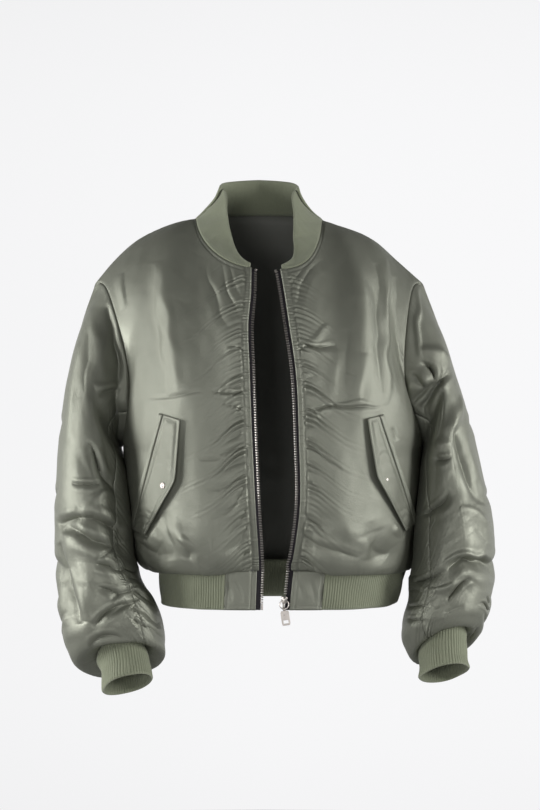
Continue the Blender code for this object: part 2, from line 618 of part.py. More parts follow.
def rim_faces(fine, coarse, points):
    """Triangles between a line of point numbers and one that has a whole number of times fewer.

    A straight cell is split from the same end in both walls of a seam, so that their rims stay
    parallel. One over raised ribs stays whole.
    """
    times = (len(fine) - 1) // (len(coarse) - 1)
    order = points[coarse] @ RIM_ORDER
    faces = []
    for cell in range(len(coarse) - 1):
        run = fine[cell * times:(cell + 1) * times + 1]
        start, end = coarse[cell], coarse[cell + 1]
        bow = np.cross(points[run] - points[run[0]], unit(points[run[-1]] - points[run[0]]))
        if np.abs(bow).max() > RIB_HEIGHT / 10:
            faces.append(list(run) + [end, start])
            continue
        tip, far = (end, run[0]) if order[cell] < order[cell + 1] else (start, run[-1])
        faces += [(run[n], run[n + 1], tip) for n in range(times)] + [(far, end, start)]
    return faces


RIM_ORDER = np.array([0.31, 0.52, 0.79])    # cells of a rim are split from the end that is lower this way


def wall(name, outer, inner, material, closed=False):
    """Closed solid between an outer and an inner grid; the outer one may have more columns."""
    if closed:
        outer, inner = outer[:, :-1], inner[:, :-1]
    points = np.concatenate([outer.reshape(-1, 3), inner.reshape(-1, 3)])
    out = np.arange(outer.shape[0] * outer.shape[1]).reshape(outer.shape[:2])
    inn = np.arange(inner.shape[0] * inner.shape[1]).reshape(inner.shape[:2]) + out.size
    faces = grid_faces(out, closed) + [face[::-1] for face in grid_faces(inn, closed)]
    for row in (0, -1):
        fine, coarse = out[row], inn[row]
        if closed:
            fine, coarse = np.append(fine, fine[0]), np.append(coarse, coarse[0])
        faces += rim_faces(fine.tolist(), coarse.tolist(), points)
    if not closed:
        for column in (0, -1):
            faces += rim_faces(out[:, column].tolist(), inn[:, column].tolist(), points)
    return solid(name, points, faces, material)


def cloth(name, sheet, thickness, material):
    """Wall of even thickness round a sheet."""
    half = sheet.normals * thickness / 2
    return wall(name, sheet.points + half, sheet.points - half, material, sheet.closed)


def knit(name, sheet, plain_rows):
    """Rib-knit wall: every second column of its outer points stands up, and its inside is plain."""
    fine = sheet.finer(RIBS_PER_COLUMN)
    raised = np.full(fine.points.shape[:2], RIB_HEIGHT)
    raised[:, ::2] = 0
    raised[list(plain_rows)] = 0
    outer = fine.points + fine.normals * (KNIT / 2 + raised)[..., None]
    inner = sheet.points - sheet.normals * KNIT / 2
    return wall(name, outer, inner, "knit", sheet.closed)


def block(name, centre, size, axes, material):
    """Rectangular block about a centre, along three directions."""
    half = [np.array(axis) * length / 2 for axis, length in zip(axes, size)]
    signs = [(i, j, k) for i in (-1, 1) for j in (-1, 1) for k in (-1, 1)]
    points = [centre + i * half[0] + j * half[1] + k * half[2] for i, j, k in signs]
    faces = [(0, 1, 3, 2), (4, 6, 7, 5), (0, 4, 5, 1), (2, 3, 7, 6), (0, 2, 6, 4), (1, 5, 7, 3)]
    return solid(name, points, faces, material, flat=True)


# --- what lies on a front ---------------------------------------------------------------------
def on_panel(sheet, x, height):
    """Point and outward normal of a front where it has this x and height."""
    row, column = 8.0, 10.0
    rows, columns = sheet.points.shape[:2]
    for _ in range(40):
        here = at_cell(sheet.points, row, column)
        over = at_cell(sheet.points, min(row + 0.5, rows - 1.01), column) - here
        aside = at_cell(sheet.points, row, min(column + 0.5, columns - 1.01)) - here
        slope = np.array([[over[0], aside[0]], [over[2], aside[2]]]) * 2
        step = np.linalg.solve(slope, [x - here[0], height - here[2]])
        row = float(np.clip(row + 0.6 * step[0], 0, rows - 1.01))
        column = float(np.clip(column + 0.6 * step[1], 0, columns - 1.01))
    return at_cell(sheet.points, row, column), unit(at_cell(sheet.normals, row, column))


def at_cell(grid, row, column):
    """Value of a grid between its points."""
    i, j = min(int(row), grid.shape[0] - 2), min(int(column), grid.shape[1] - 2)
    v, u = row - i, column - j
    return ((1 - v) * ((1 - u) * grid[i, j] + u * grid[i, j + 1])
            + v * ((1 - u) * grid[i + 1, j] + u * grid[i + 1, j + 1]))


def flap_outline(side):
    """Sewn edge and free edge of a flap, row by row."""
    corners = {name: np.array(place) for name, place in FLAP[side].items()}
    down = np.linspace(0, 1, FLAP_ROWS + 1)[:, None]
    sewn = corners["top"] * (1 - down) + corners["bottom"] * down
    upper = np.linspace(0, 1, FLAP_POINT_ROW + 1)[:, None]
    lower = np.linspace(0, 1, FLAP_ROWS - FLAP_POINT_ROW + 1)[1:, None]
    free = np.concatenate([corners["free_top"] * (1 - upper) + corners["point"] * upper,
                           corners["point"] * (1 - lower) + corners["free_bottom"] * lower])
    return sewn, free


def lifted(front, places, lifts):
    """Middle surface over a front: its points moved out by each lift."""
    rows = []
    for line, heights in zip(places, lifts):
        found = [on_panel(front, *place) for place in line]
        rows.append([point + normal * lift for (point, normal), lift in zip(found, heights)])
    return np.array(rows)


def pocket(side, front):
    """Flap, welt and snap of one pocket."""
    sewn, free = flap_outline(side)
    across = np.array(FLAP_ACROSS)
    places = sewn[:, None] * (1 - across[:, None]) + free[:, None] * across[:, None]
    base = SATIN / 2 + DOUBLED / 2 + FLAP_CLEAR
    down = np.linspace(0, 1, FLAP_ROWS + 1)
    stand = FLAP_LIFT * (FLAP_ENDS + (1 - FLAP_ENDS) * np.sin(math.pi * down))
    lifts = base + stand[:, None] * across[None] ** 1.5
    flap = Sheet(lifted(front, places, lifts))
    name = side_name(side)
    cloth("pocket_flap_" + name, flap, DOUBLED, "satin")

    outwards = np.array([side * WELT_SLOPE[0], WELT_SLOPE[1]])
    near = sewn + outwards * WELT_APART
    far = near + outwards * WELT
    welt_places = np.stack([near, far], axis=1)
    welt = Sheet(lifted(front, welt_places, np.full((FLAP_ROWS + 1, 2), base)))
    cloth("pocket_welt_" + name, welt, DOUBLED, "satin")

    row, column = SNAP[side][0] * FLAP_ROWS, SNAP[side][1] * (len(across) - 1)
    seat, outward = at_cell(flap.points, row, column), unit(at_cell(flap.normals, row, column))
    snap(name, seat + outward * (DOUBLED / 2 + 2 * GAP), outward)


def snap(name, foot, outward):
    """Domed snap cap: a low turned profile on its flap."""
    turn = np.linspace(0, 2 * math.pi, SNAP_SIDES, endpoint=False)
    side = unit(np.cross(outward, [0, 0, 1.0]))
    up = np.cross(side, outward)
    spoke = np.cos(turn)[:, None] * side + np.sin(turn)[:, None] * up
    rows = [foot + spoke * SNAP_RADIUS * radius + outward * SNAP_HEIGHT * rise
            for radius, rise in zip(SNAP_PROFILE["radius"], SNAP_PROFILE["rise"])]
    index = np.arange(len(rows) * SNAP_SIDES).reshape(-1, SNAP_SIDES)
    faces = grid_faces(index, closed=True) + [index[0].tolist(), index[-1].tolist()[::-1]]
    solid("snap_" + name, np.concatenate(rows), faces, "metal")


# --- zip --------------------------------------------------------------------------------------
def edge_lines(hem, front, column):
    """Cloth edge beside the zip from the hem up, with its directions to the opening and outwards."""
    inside = 1 if column == 0 else -2
    line, inner, outward = (np.concatenate([part[::-1], upper[1:]]) for part, upper in (
        (hem.points[:, column], front.points[:, 0]), (hem.points[:, inside], front.points[:, 1]),
        (hem.normals[:, column], front.normals[:, 0])))
    across = unit(line - inner)
    outward = unit(unit(outward) - (unit(outward) * across).sum(axis=1, keepdims=True) * across)
    return line, across, outward


def zip_side(side, line, across, outward):
    """Tape behind the cloth's edge, tooth row along it and stop at its top."""
    name = side_name(side)
    behind = outward * (SATIN / 2 + TAPE / 2 + TAPE_BEHIND)
    reach = np.array([-TAPE_UNDER, 0, TAPE_SHOWS])[:, None]
    reach = line[:, None] - behind[:, None] + across[:, None] * reach
    tape = Sheet(reach)
    tape.normals = np.repeat(outward[:, None], 3, axis=1)
    cloth("zip_tape_" + name, tape, TAPE, "tape")

    width, depth = TOOTH_ROW
    centre = line - behind + across * (TAPE_SHOWS + GAP + width / 2)
    top = np.interp(ZIP_TOP - STOP[2] / 2 - GAP, centre[:, 2], np.arange(len(centre)))
    foot = np.interp(centre[0, 2] + ZIP_FOOT, centre[:, 2], np.arange(len(centre)))
    if side > 0:
        foot = np.interp(centre[0, 2] + ZIP_FOOT + SLIDER_SIZE[2] + GAP, centre[:, 2], np.arange(len(centre)))
    places = np.concatenate([[foot], np.arange(math.ceil(foot + 0.2), math.floor(top - 0.2) + 1), [top]])
    rows = [at_line(centre, place) for place in places]
    axes = [(at_line(across, place), at_line(outward, place)) for place in places]
    corners = ((-0.5, -0.5), (0.5, -0.5), (0.5, 0.5), (-0.5, 0.5))
    points = np.array([[row + unit(a) * width * i + unit(o) * depth * j for i, j in corners]
                       for row, (a, o) in zip(rows, axes)])
    index = np.arange(len(rows) * 4).reshape(-1, 4)
    faces = grid_faces(index, closed=True) + [index[0].tolist(), index[-1].tolist()[::-1]]
    solid("zip_teeth_" + name, points.reshape(-1, 3), faces, "metal", flat=True)

    up = unit(rows[-1] - rows[-2])
    a, o = (unit(axis) for axis in axes[-1])
    block("zip_stop_" + name, rows[-1] + up * (GAP + STOP[2] / 2), STOP, (a, o, up), "metal")
    return centre, across, outward


def at_line(line, place):
    """Value of a line between its points."""
    low = min(int(place), len(line) - 2)
    return line[low] * (1 - (place - low)) + line[low + 1] * (place - low)


def at_height(line, height):
    """Point of a rising line at a height."""
    return np.array([np.interp(height, line[:, 2], line[:, axis]) for axis in range(3)])


def zip_foot(side, centre, across, outward):
    """Insertion pin on the right, retainer box on the left, below the teeth."""
    up = unit(centre[1] - centre[0])
    name, size = ("zip_pin", PIN) if side < 0 else ("zip_box", BOX)
    middle = centre[0] + up * ZIP_FOOT / 2
    block(name, middle, (*size, ZIP_FOOT - 2 * GAP), (across[0], outward[0], up), "metal")


def prism(name, outline, start, end, material="metal"):
    """Outline carried from one end to the other."""
    rows = np.concatenate([outline + start, outline + end])
    count = len(outline)
    index = np.arange(2 * count).reshape(2, count)
    faces = grid_faces(index, closed=True) + [index[0].tolist(), index[1].tolist()[::-1]]
    return solid(name, rows, faces, material, flat=True)


def join_solids(base, *others):
    """Boolean union of solids into the first one."""
    for other in others:
        step = base.modifiers.new("join", "BOOLEAN")
        step.operation, step.solver, step.object = "UNION", "EXACT", other
        apply_modifiers(base)
        bpy.data.objects.remove(other)
    return base


def apply_modifiers(piece):
    """Replaces a piece's mesh by its evaluated one."""
    graph = bpy.context.evaluated_depsgraph_get()
    mesh = bpy.data.meshes.new_from_object(piece.evaluated_get(graph))
    piece.modifiers.clear()
    piece.data = mesh


def slider(middle):
    """Slider: two plates on a post, with the bridge that carries the ring in front.

    Returns the middle of the bridge's hole.
    """
    width, depth, height = SLIDER_SIZE
    w, d, p, post = width / 2, depth / 2, depth / 2 - SLIDER_PLATE, SLIDER_POST / 2
    outline = np.array([(-w, -d, 0), (w, -d, 0), (w, -p, 0), (post, -p, 0), (post, p, 0), (w, p, 0),
                        (w, d, 0), (-w, d, 0), (-w, p, 0), (-post, p, 0), (-post, -p, 0), (-w, -p, 0)])
    up = np.array([0, 0, height / 2])
    body = prism("zip_slider", outline + middle, -up, up)
    length, bar, hole = BRIDGE["length"] / 2, BRIDGE["bar"], BRIDGE["hole"]
    foot, under, front = -d + BRIDGE["sunk"], -d - hole, -d - hole - bar
    arch = np.array([(0, foot, -length), (0, foot, -length + bar), (0, under, -length + bar * 1.4),
                     (0, under, length - bar * 1.4), (0, foot, length - bar), (0, foot, length),
                     (0, front, length - bar), (0, front, -length + bar)])
    aside = np.array([BRIDGE["width"] / 2, 0, 0])
    bridge = prism("bridge", arch + middle, -aside, aside)
    join_solids(body, bridge)
    return middle + np.array([0, -d - hole / 2, 0])


def ring(hinge):
    """Round wire ring that hangs from the bridge, its top on the hinge."""
    turn = np.linspace(0, 2 * math.pi, RING_SIDES, endpoint=False)
    round_wire = np.linspace(0, 2 * math.pi, WIRE_SIDES, endpoint=False)
    radius = RING_RADIUS + RING_WIRE * np.cos(round_wire)[:, None]
    points = np.stack([radius * np.sin(turn), RING_WIRE * np.sin(round_wire)[:, None] + 0 * turn,
                       radius * np.cos(turn)], axis=-1)
    index = np.arange(WIRE_SIDES * RING_SIDES).reshape(WIRE_SIDES, RING_SIDES)
    index = np.concatenate([index, index[:1]])
    place_at_hinge(solid("pull_ring", (points - [0, 0, RING_RADIUS]).reshape(-1, 3),
                         grid_faces(index, closed=True), "metal"), hinge)


def tab(hinge):
    """Flat tab with a window near its foot, held by an eye round the ring's wire."""
    half, length, thick = TAB["width"] / 2, TAB["length"], TAB["thickness"] / 2
    eye_out = EYE["hole"] + EYE["wall"]
    window = TAB["window_width"] / 2
    across = np.array([-half, -window, window, half])
    window_foot = length - TAB["foot"]
    down = -np.array([eye_out - EYE["sunk"], window_foot - TAB["window_height"], window_foot, length])
    plate = windowed_plate("pull_tab", across, down, thick)
    turn = np.linspace(0, 2 * math.pi, EYE_SIDES, endpoint=False)
    loop = np.stack([0 * turn, np.cos(turn), np.sin(turn)], axis=1)
    aside = np.array([EYE["width"] / 2, 0, 0])
    rows = np.stack([loop * eye_out - aside, loop * eye_out + aside, loop * EYE["hole"] + aside,
                     loop * EYE["hole"] - aside])
    index = np.arange(4 * EYE_SIDES).reshape(4, EYE_SIDES)
    index = np.concatenate([index, index[:1]])
    eye = solid("eye", rows.reshape(-1, 3), grid_faces(index, closed=True), "metal")
    join_solids(plate, eye)
    plate.data.transform(Matrix.Rotation(math.radians(-TAB["lean"]), 4, "Y"))
    place_at_hinge(plate, hinge)


def windowed_plate(name, across, down, thick):
    """Plate of three by three cells without its middle one."""
    points = np.array([(x, y, z) for y in (-thick, thick) for z in down for x in across])
    index = np.arange(32).reshape(2, 4, 4)
    faces = []
    for row in range(3):
        for column in range(3):
            if (row, column) == (1, 1):
                continue
            for side, grid in ((0, index[0]), (1, index[1])):
                quad = [*grid[row, column:column + 2], *grid[row + 1, column:column + 2][::-1]]
                faces.append([int(n) for n in (quad if side == 0 else quad[::-1])])
    outside = [(0, c) for c in range(4)] + [(r, 3) for r in range(1, 4)]
    outside += [(3, c) for c in range(2, -1, -1)] + [(r, 0) for r in range(2, 0, -1)]
    for loop in (outside, [(1, 1), (2, 1), (2, 2), (1, 2)]):
        for a, b in zip(loop, loop[1:] + loop[:1]):
            faces.append([int(index[0][a]), int(index[1][a]), int(index[1][b]), int(index[0][b])])
    return solid(name, points, faces, "metal", flat=True)


def place_at_hinge(piece, hinge):
    """Stands a moving piece on its hinge."""
    piece.location = Vector(hinge)


# --- the jacket -------------------------------------------------------------------------------
def make_materials():
    """One shader for each finish."""
    made = {}
    for name, (colour, roughness, metallic) in COLOURS.items():
        material = bpy.data.materials.new(name)
        material.use_nodes = True
        shader = material.node_tree.nodes["Principled BSDF"]
        shader.inputs["Base Color"].default_value = colour
        shader.inputs["Roughness"].default_value = roughness
        shader.inputs["Metallic"].default_value = metallic
        material.diffuse_color = colour
        made[name] = material
    return made


def shaped(points, closed=False, held=0):
    """Sheet with its largest folds; the body's also has its gathers.

    Its first columns may be held flat, as by the zip.
    """
    sheet = Sheet(points, closed)
    moved = fold(sheet.points, sheet.normals)
    if closed:
        moved[:, -1] = moved[:, 0]
        moved[-1] = points[-1]
    else:
        moved = gather(moved, sheet.normals)
    moved[0] = points[0]
    moved[:, :held] = points[:, :held]
    return Sheet(moved, closed)


def keep_seams(front, back, side):
    """Puts the seams of a front and the back where they meet, as folds may move the two apart."""
    column = 0 if side < 0 else -1
    front.points[:ARMPIT_ROW + 1, -1] = back.points[:ARMPIT_ROW + 1, column]
    front.points[ARMPIT_ROW:, -1] = armhole(side, np.linspace(math.pi, 0, ARMHOLE_ROWS + 1))
    back.points[ARMPIT_ROW:, column] = armhole(side, np.linspace(math.pi, 2 * math.pi, ARMHOLE_ROWS + 1))
    seam = shoulder_seam(side, SHOULDER_COLUMNS)
    front.points[-1, NECK_COLUMNS:] = seam
    if side < 0:
        back.points[-1, :SHOULDER_COLUMNS + 1] = seam[::-1]
    else:
        back.points[-1, -SHOULDER_COLUMNS - 1:] = seam


def collar_sheet(fronts, back):
    """Collar from the neckline of the right front round the back to the left front."""
    neck = np.concatenate([fronts[-1].points[-1, :NECK_COLUMNS + 1],
                           back.points[-1, SHOULDER_COLUMNS + 1:-SHOULDER_COLUMNS],
                           fronts[1].points[-1, NECK_COLUMNS - 1::-1]])
    half = NECK_COLUMNS + BACK_NECK_COLUMNS
    share = np.concatenate([np.linspace(0, 1, NECK_COLUMNS + 1),
                            np.linspace(1, 2, BACK_NECK_COLUMNS + 1)[1:]])
    share = np.concatenate([share, share[:half][::-1]])
    lean = smooth(COLLAR["share"], COLLAR["lean"], share)[:, None]
    stand = smooth(COLLAR["share"], COLLAR["stand"], share)[:, None]
    plan = neck * [1, 1, 0]
    run = unit(np.gradient(plan, axis=0))
    inward = np.stack([-run[:, 1], run[:, 0], 0 * run[:, 0]], axis=1)
    inward *= np.sign((inward * -plan).sum(axis=1, keepdims=True))
    free = neck + inward * lean + np.array([0, 0, 1]) * stand
    v = np.linspace(0, 1, COLLAR_ROWS + 1)[:, None, None]
    rows = neck * (1 - v) + free * v
    height = np.linalg.norm(free - neck, axis=1)[None, :, None]
    rows += inward * np.sin(math.pi * v) * COLLAR_HOLLOW * height / COLLAR["stand"].max()
    return Sheet(rows)


def hem_sheet(fronts, back):
    """Hem band from the right opening round the back to the left one; its first row is the seam."""
    seam = np.concatenate([fronts[-1].points[0], back.points[0, 1:-1], fronts[1].points[0, ::-1]])
    front_cells = NECK_COLUMNS + SHOULDER_COLUMNS
    middle = (HEM["right"] + HEM["left"]) / 2
    lower = []
    for side in (-1, 1):
        edge = OPENING[side_name(side)][0]
        line = quarter(edge, HEM[side_name(side)], HEM["front"], HEM["height"])
        lower.append(front_columns(line))
    back_cells = BACK_NECK_COLUMNS + SHOULDER_COLUMNS
    behind = [even(quarter(middle, HEM[side_name(side)], HEM["back"], HEM["height"]), back_cells)
              for side in (-1, 1)]
    edge = np.concatenate([lower[0], behind[0][::-1][1:], behind[1][1:-1], lower[1][::-1]])
    assert len(edge) == len(seam) == 2 * front_cells + 2 * back_cells + 1
    near = seam + (edge - seam) * HEM_PLAIN
    return Sheet(np.stack([seam, near, edge]))


def main():
    """Makes every piece."""
    fronts = {side: shaped(front_panel(side), held=2) for side in (-1, 1)}
    back = shaped(back_panel())
    sleeves = {side: shaped(sleeve_tube(side), closed=True) for side in (-1, 1)}
    for side in (-1, 1):
        keep_seams(fronts[side], back, side)
    for sheet in (fronts[-1], fronts[1], back):
        sheet.find_normals()
    cuffs = {side: Sheet(cuff_tube(side, sleeves[side].points[-1]), closed=True) for side in (-1, 1)}
    collar = collar_sheet(fronts, back)
    hem = hem_sheet(fronts, back)
    share_normals([*fronts.values(), back])
    share_normals([*fronts.values(), back, *sleeves.values(), *cuffs.values(), collar, hem])
    edges = {-1: edge_lines(hem, fronts[-1], 0), 1: edge_lines(hem, fronts[1], -1)}

    cloth("back", set_back(back, "first row", "last row", "first column", "last column"), SATIN, "satin")
    last = hem.points.shape[1] - 1
    cut = EDGE_COLUMNS
    hem_parts = {"hem_tab_right": np.arange(cut + 1), "hem_tab_left": np.arange(last - cut, last + 1)}
    for name, columns in hem_parts.items():
        inner_edge = "last column" if name.endswith("right") else "first column"
        cloth(name, set_back(hem.part(columns), "first row", inner_edge), SATIN, "satin")
    rib = hem.part(np.arange(cut, last - cut + 1))
    set_back(rib, "first row", "first column", "last column", room=GAP)
    knit("hem_rib", rib, (0,))
    knit("collar", set_back(collar, "first row", room=GAP), (0,))
    for side in (-1, 1):
        name, front, tube = side_name(side), fronts[side], sleeves[side]
        pocket(side, front)
        cloth("front_" + name, set_back(front, "first row", "last row", "last column"), SATIN, "satin")
        set_back(tube, "first row", "last row")
        under = np.arange(ARMHOLE_ROWS - UNDER_COLUMNS, ARMHOLE_ROWS + UNDER_COLUMNS + 1)
        top = np.arange(under[-1], under[0] + 2 * ARMHOLE_ROWS + 1) % (2 * ARMHOLE_ROWS)
        for piece, columns in (("sleeve_under_", under), ("sleeve_top_", top)):
            cloth(piece + name, set_back(tube.part(columns), "first column", "last column"), SATIN, "satin")
        knit("cuff_" + name, set_back(cuffs[side], "first row", room=GAP), (0,))
        centre, across, outward = zip_side(side, *edges[side])
        zip_foot(side, centre, across, outward)
    middle = at_height(centre, centre[0, 2] + ZIP_FOOT + SLIDER_SIZE[2] / 2)
    hinge = slider(middle)
    ring(hinge)
    tab(hinge - np.array([0, 0, 2 * RING_RADIUS]))


for old in list(bpy.data.objects):
    bpy.data.objects.remove(old)
MATERIALS = make_materials()
main()
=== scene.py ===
"""Bomber jacket, worn open: creased satin, rib-knit bands, stitching and a metal front zip.

Metres, +Z up. The front faces -Y and the wearer's left is +X, as in the frame. Every cloth piece is
a fine grid over the form of its solid: the same tables and curves, with FINE times as many points.
Its outer face is then moved along its normals by creases, puckers, grooves and ribs.
"""

import math

import bpy
import numpy as np
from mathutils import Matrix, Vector


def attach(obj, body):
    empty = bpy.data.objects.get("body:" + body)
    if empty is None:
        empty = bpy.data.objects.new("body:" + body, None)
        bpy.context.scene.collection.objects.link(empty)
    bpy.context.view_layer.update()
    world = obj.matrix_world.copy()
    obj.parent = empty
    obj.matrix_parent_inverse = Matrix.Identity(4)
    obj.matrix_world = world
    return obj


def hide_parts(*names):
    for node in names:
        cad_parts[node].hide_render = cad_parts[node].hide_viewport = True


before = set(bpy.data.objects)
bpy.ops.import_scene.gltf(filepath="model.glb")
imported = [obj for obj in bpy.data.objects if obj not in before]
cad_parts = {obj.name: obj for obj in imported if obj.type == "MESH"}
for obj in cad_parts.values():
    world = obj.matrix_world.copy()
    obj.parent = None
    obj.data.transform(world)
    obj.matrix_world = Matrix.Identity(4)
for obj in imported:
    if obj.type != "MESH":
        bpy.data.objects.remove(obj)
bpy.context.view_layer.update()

# --- walls ---
SATIN = 0.0030            # shell, thin padding and lining, quilted as one
DOUBLED = 0.0020          # two layers of shell cloth: flaps, welts and hem tabs
KNIT = 0.0024             # rib knit between its ribs
TAPE = 0.0010             # woven zip tape
GAP = 0.0003              # between pieces that touch

# --- how the cloth is divided: FINE times as finely as its solids ---
FINE = 12
LINING_STEP = 4           # the inner face has a point for every few of the outer one
EDGE_STEP = 0.0163 / FINE
EDGE_COLUMNS = 3 * FINE
NECK_COLUMNS = 7 * FINE
SHOULDER_COLUMNS = 7 * FINE
BACK_NECK_COLUMNS = 5 * FINE
BODY_ROWS = (FINE, 2 * FINE, 3 * FINE, 3 * FINE)
ARMHOLE_ROWS = 10 * FINE
UNDER_COLUMNS = 3 * FINE
SLEEVE_ROWS = tuple(FINE * cells for cells in (2, 2, 2, 3, 3, 3, 2, 2, 1, 1))


def table(columns, *rows):
    """Rows of numbers as one array for each named column."""
    return {name: np.array(values, float) for name, values in zip(columns.split(), zip(*rows))}

# --- the body, from the hem seam up to the armpit ---
BODY = table("height right left front back edge_height edge_y",
             (-0.5565, -0.1570, 0.2320, -0.1480, 0.1270, -0.5565, -0.1480),     # hem seam
             (-0.5610, -0.1800, 0.2385, -0.1640, 0.1400, -0.5480, -0.1510),     # fold over the hem band
             (-0.5300, -0.1990, 0.2450, -0.1790, 0.1500, -0.5300, -0.1590),     # blouse
             (-0.4550, -0.2065, 0.2515, -0.1830, 0.1530, -0.4550, -0.1770),     # waist
             (-0.3850, -0.2120, 0.2545, -0.1795, 0.1510, -0.3850, -0.1765))     # armpit
EDGE_FADE = 0.075         # the zip keeps the front flat this far from its edge
BODY_AXIS = (0.02, 0.0)   # x and y inside the body at every height
SIDE_Y = 0.005            # side seams
SQUARENESS = 2.7          # across its width; 2 is an ellipse
DEPTH_SQUARENESS = 2.15   # from its middle to its sides

# front edges beside the zip
OPENING = table("height right left",
                (-0.6170, -0.0045, 0.0470), (-0.5600, -0.0023, 0.0525), (-0.4550, -0.0075, 0.0655),
                (-0.3600, -0.0120, 0.0640), (-0.2500, -0.0160, 0.0585), (-0.1800, -0.0180, 0.0485),
                (-0.1320, -0.0140, 0.0415), (-0.0930, -0.0135, 0.0350))

# shoulder seam, from the neck to the tip
SHOULDER = {-1: table("x height", (-0.0985, -0.0100), (-0.1256, -0.0152), (-0.1620, -0.0284),
                      (-0.1959, -0.0467), (-0.2323, -0.0805), (-0.2580, -0.1115)),
            1: table("x height", (0.0985, -0.0120), (0.1280, -0.0230), (0.1570, -0.0322),
                     (0.1833, -0.0457), (0.2174, -0.0758), (0.2580, -0.1120))}
SHOULDER_Y = 0.006

# neckline: half width, front and back reach, drop at the front; below 1 the front is squarer
NECK_X = 0.0985
NECK_FRONT = 0.1190
NECK_BACK = 0.0760
NECK_DROP = 0.0850
NECK_ROUND = {-1: 1.0, 1: 0.45}
NECK_FALL = 1.15          # above 1 the neckline stays high for longer beside the neck
BACK_NECK_HEIGHT = 0.0

# armholes: armpit point, reach to the front and back, and how far the seam sets in
ARMPIT = {-1: (-0.2125, -0.3640), 1: (0.2555, -0.3640)}
ARMHOLE_DEPTH = 0.0760
ARMHOLE_INSET = 0.0310
ARMHOLE_SET = (1.3, 0.7)  # it sets in early below the tip and late above the armpit
CAP_FULLNESS = 1.30       # how roundly the chest turns over the shoulder
ARMHOLE_PULL = 2.2        # how fast a panel's columns are drawn to the armhole, and to the zip
ZIP_PULL = 3.0

# where each column points as it reaches the top of a panel, across the panel's width
TOP_DIRECTION = table("share to_neck to_middle up",
                      (0.00, 0.05, 0.50, 0.86), (0.25, 0.35, 0.50, 0.79), (0.45, 0.62, 0.66, 0.42),
                      (0.55, 0.45, 0.88, 0.14), (0.70, 0.15, 0.99, 0.00), (1.00, 0.00, 1.00, 0.00))

# --- sleeves: outer and inner points of each section, its middle, half depth and forward tilt ---
SECTION = "x_out z_out x_in z_in y depth tilt"
SLEEVES = {
    -1: table(SECTION,
              (-0.2815, -0.190, -0.2235, -0.380, -0.004, 0.086, 0),
              (-0.2985, -0.260, -0.2060, -0.425, -0.014, 0.093, 0),
              (-0.3092, -0.340, -0.1960, -0.475, -0.026, 0.097, 0),
              (-0.3152, -0.420, -0.1930, -0.530, -0.036, 0.098, 2),
              (-0.3172, -0.500, -0.1850, -0.577, -0.043, 0.097, 6),
              (-0.3135, -0.578, -0.1640, -0.610, -0.048, 0.094, 12),
              (-0.3075, -0.641, -0.1500, -0.646, -0.058, 0.089, 18),
              (-0.2975, -0.682, -0.1475, -0.674, -0.066, 0.082, 24),
              (-0.2770, -0.706, -0.1530, -0.693, -0.070, 0.067, 30),
              (-0.2490, -0.695, -0.1790, -0.679, -0.074, 0.047, 38)),
    1: table(SECTION,
             (0.2862, -0.190, 0.2640, -0.380, -0.002, 0.086, 0),
             (0.3083, -0.260, 0.2530, -0.425, -0.014, 0.093, 0),
             (0.3325, -0.340, 0.2420, -0.477, -0.026, 0.097, 0),
             (0.3505, -0.420, 0.2390, -0.532, -0.036, 0.098, 2),
             (0.3652, -0.500, 0.2350, -0.575, -0.043, 0.097, 6),
             (0.3655, -0.568, 0.2340, -0.610, -0.048, 0.092, 12),
             (0.3590, -0.618, 0.2245, -0.644, -0.058, 0.086, 18),
             (0.3485, -0.647, 0.2258, -0.674, -0.066, 0.077, 24),
             (0.3340, -0.662, 0.2401, -0.693, -0.070, 0.063, 30),
             (0.3192, -0.655, 0.2525, -0.677, -0.074, 0.046, 38))}

# a sleeve presses against the body's side: how far they stay apart, and how much more in front
PRESS = 0.0057
PRESS_FORWARD = 0.0110
PRESS_ROLL = 0.0060       # the blouse is fuller than its sections just above its fold
PRESS_FADE = 0.015        # height over which this starts below the armpit and ends below the blouse

# cuff sections from the seam down, in the sleeves' columns
CUFFS = {
    -1: table(SECTION,
              (-0.2421, -0.716, -0.1718, -0.697, -0.082, 0.0430, 30),
              (-0.2400, -0.746, -0.1642, -0.725, -0.098, 0.0425, 24)),
    1: table(SECTION,
             (0.3192, -0.684, 0.2508, -0.699, -0.082, 0.0430, 30),
             (0.3219, -0.711, 0.2498, -0.725, -0.098, 0.0425, 24))}

# --- hem band: heights and sides at its lower edge ---
HEM = dict(height=-0.6170, right=-0.1530, left=0.2160, front=-0.1455, back=0.1250)

# --- collar: how far its free edge leans in and stands up, from the front (0) to the back (2) ---
COLLAR = table("share lean stand",
               (0.00, 0.004, 0.007), (0.33, 0.030, 0.026), (0.60, 0.040, 0.043),
               (0.80, 0.046, 0.051), (1.00, 0.041, 0.050), (1.50, 0.029, 0.053), (2.00, 0.018, 0.056))
COLLAR_HOLLOW = 0.006      # its middle dips towards the neck

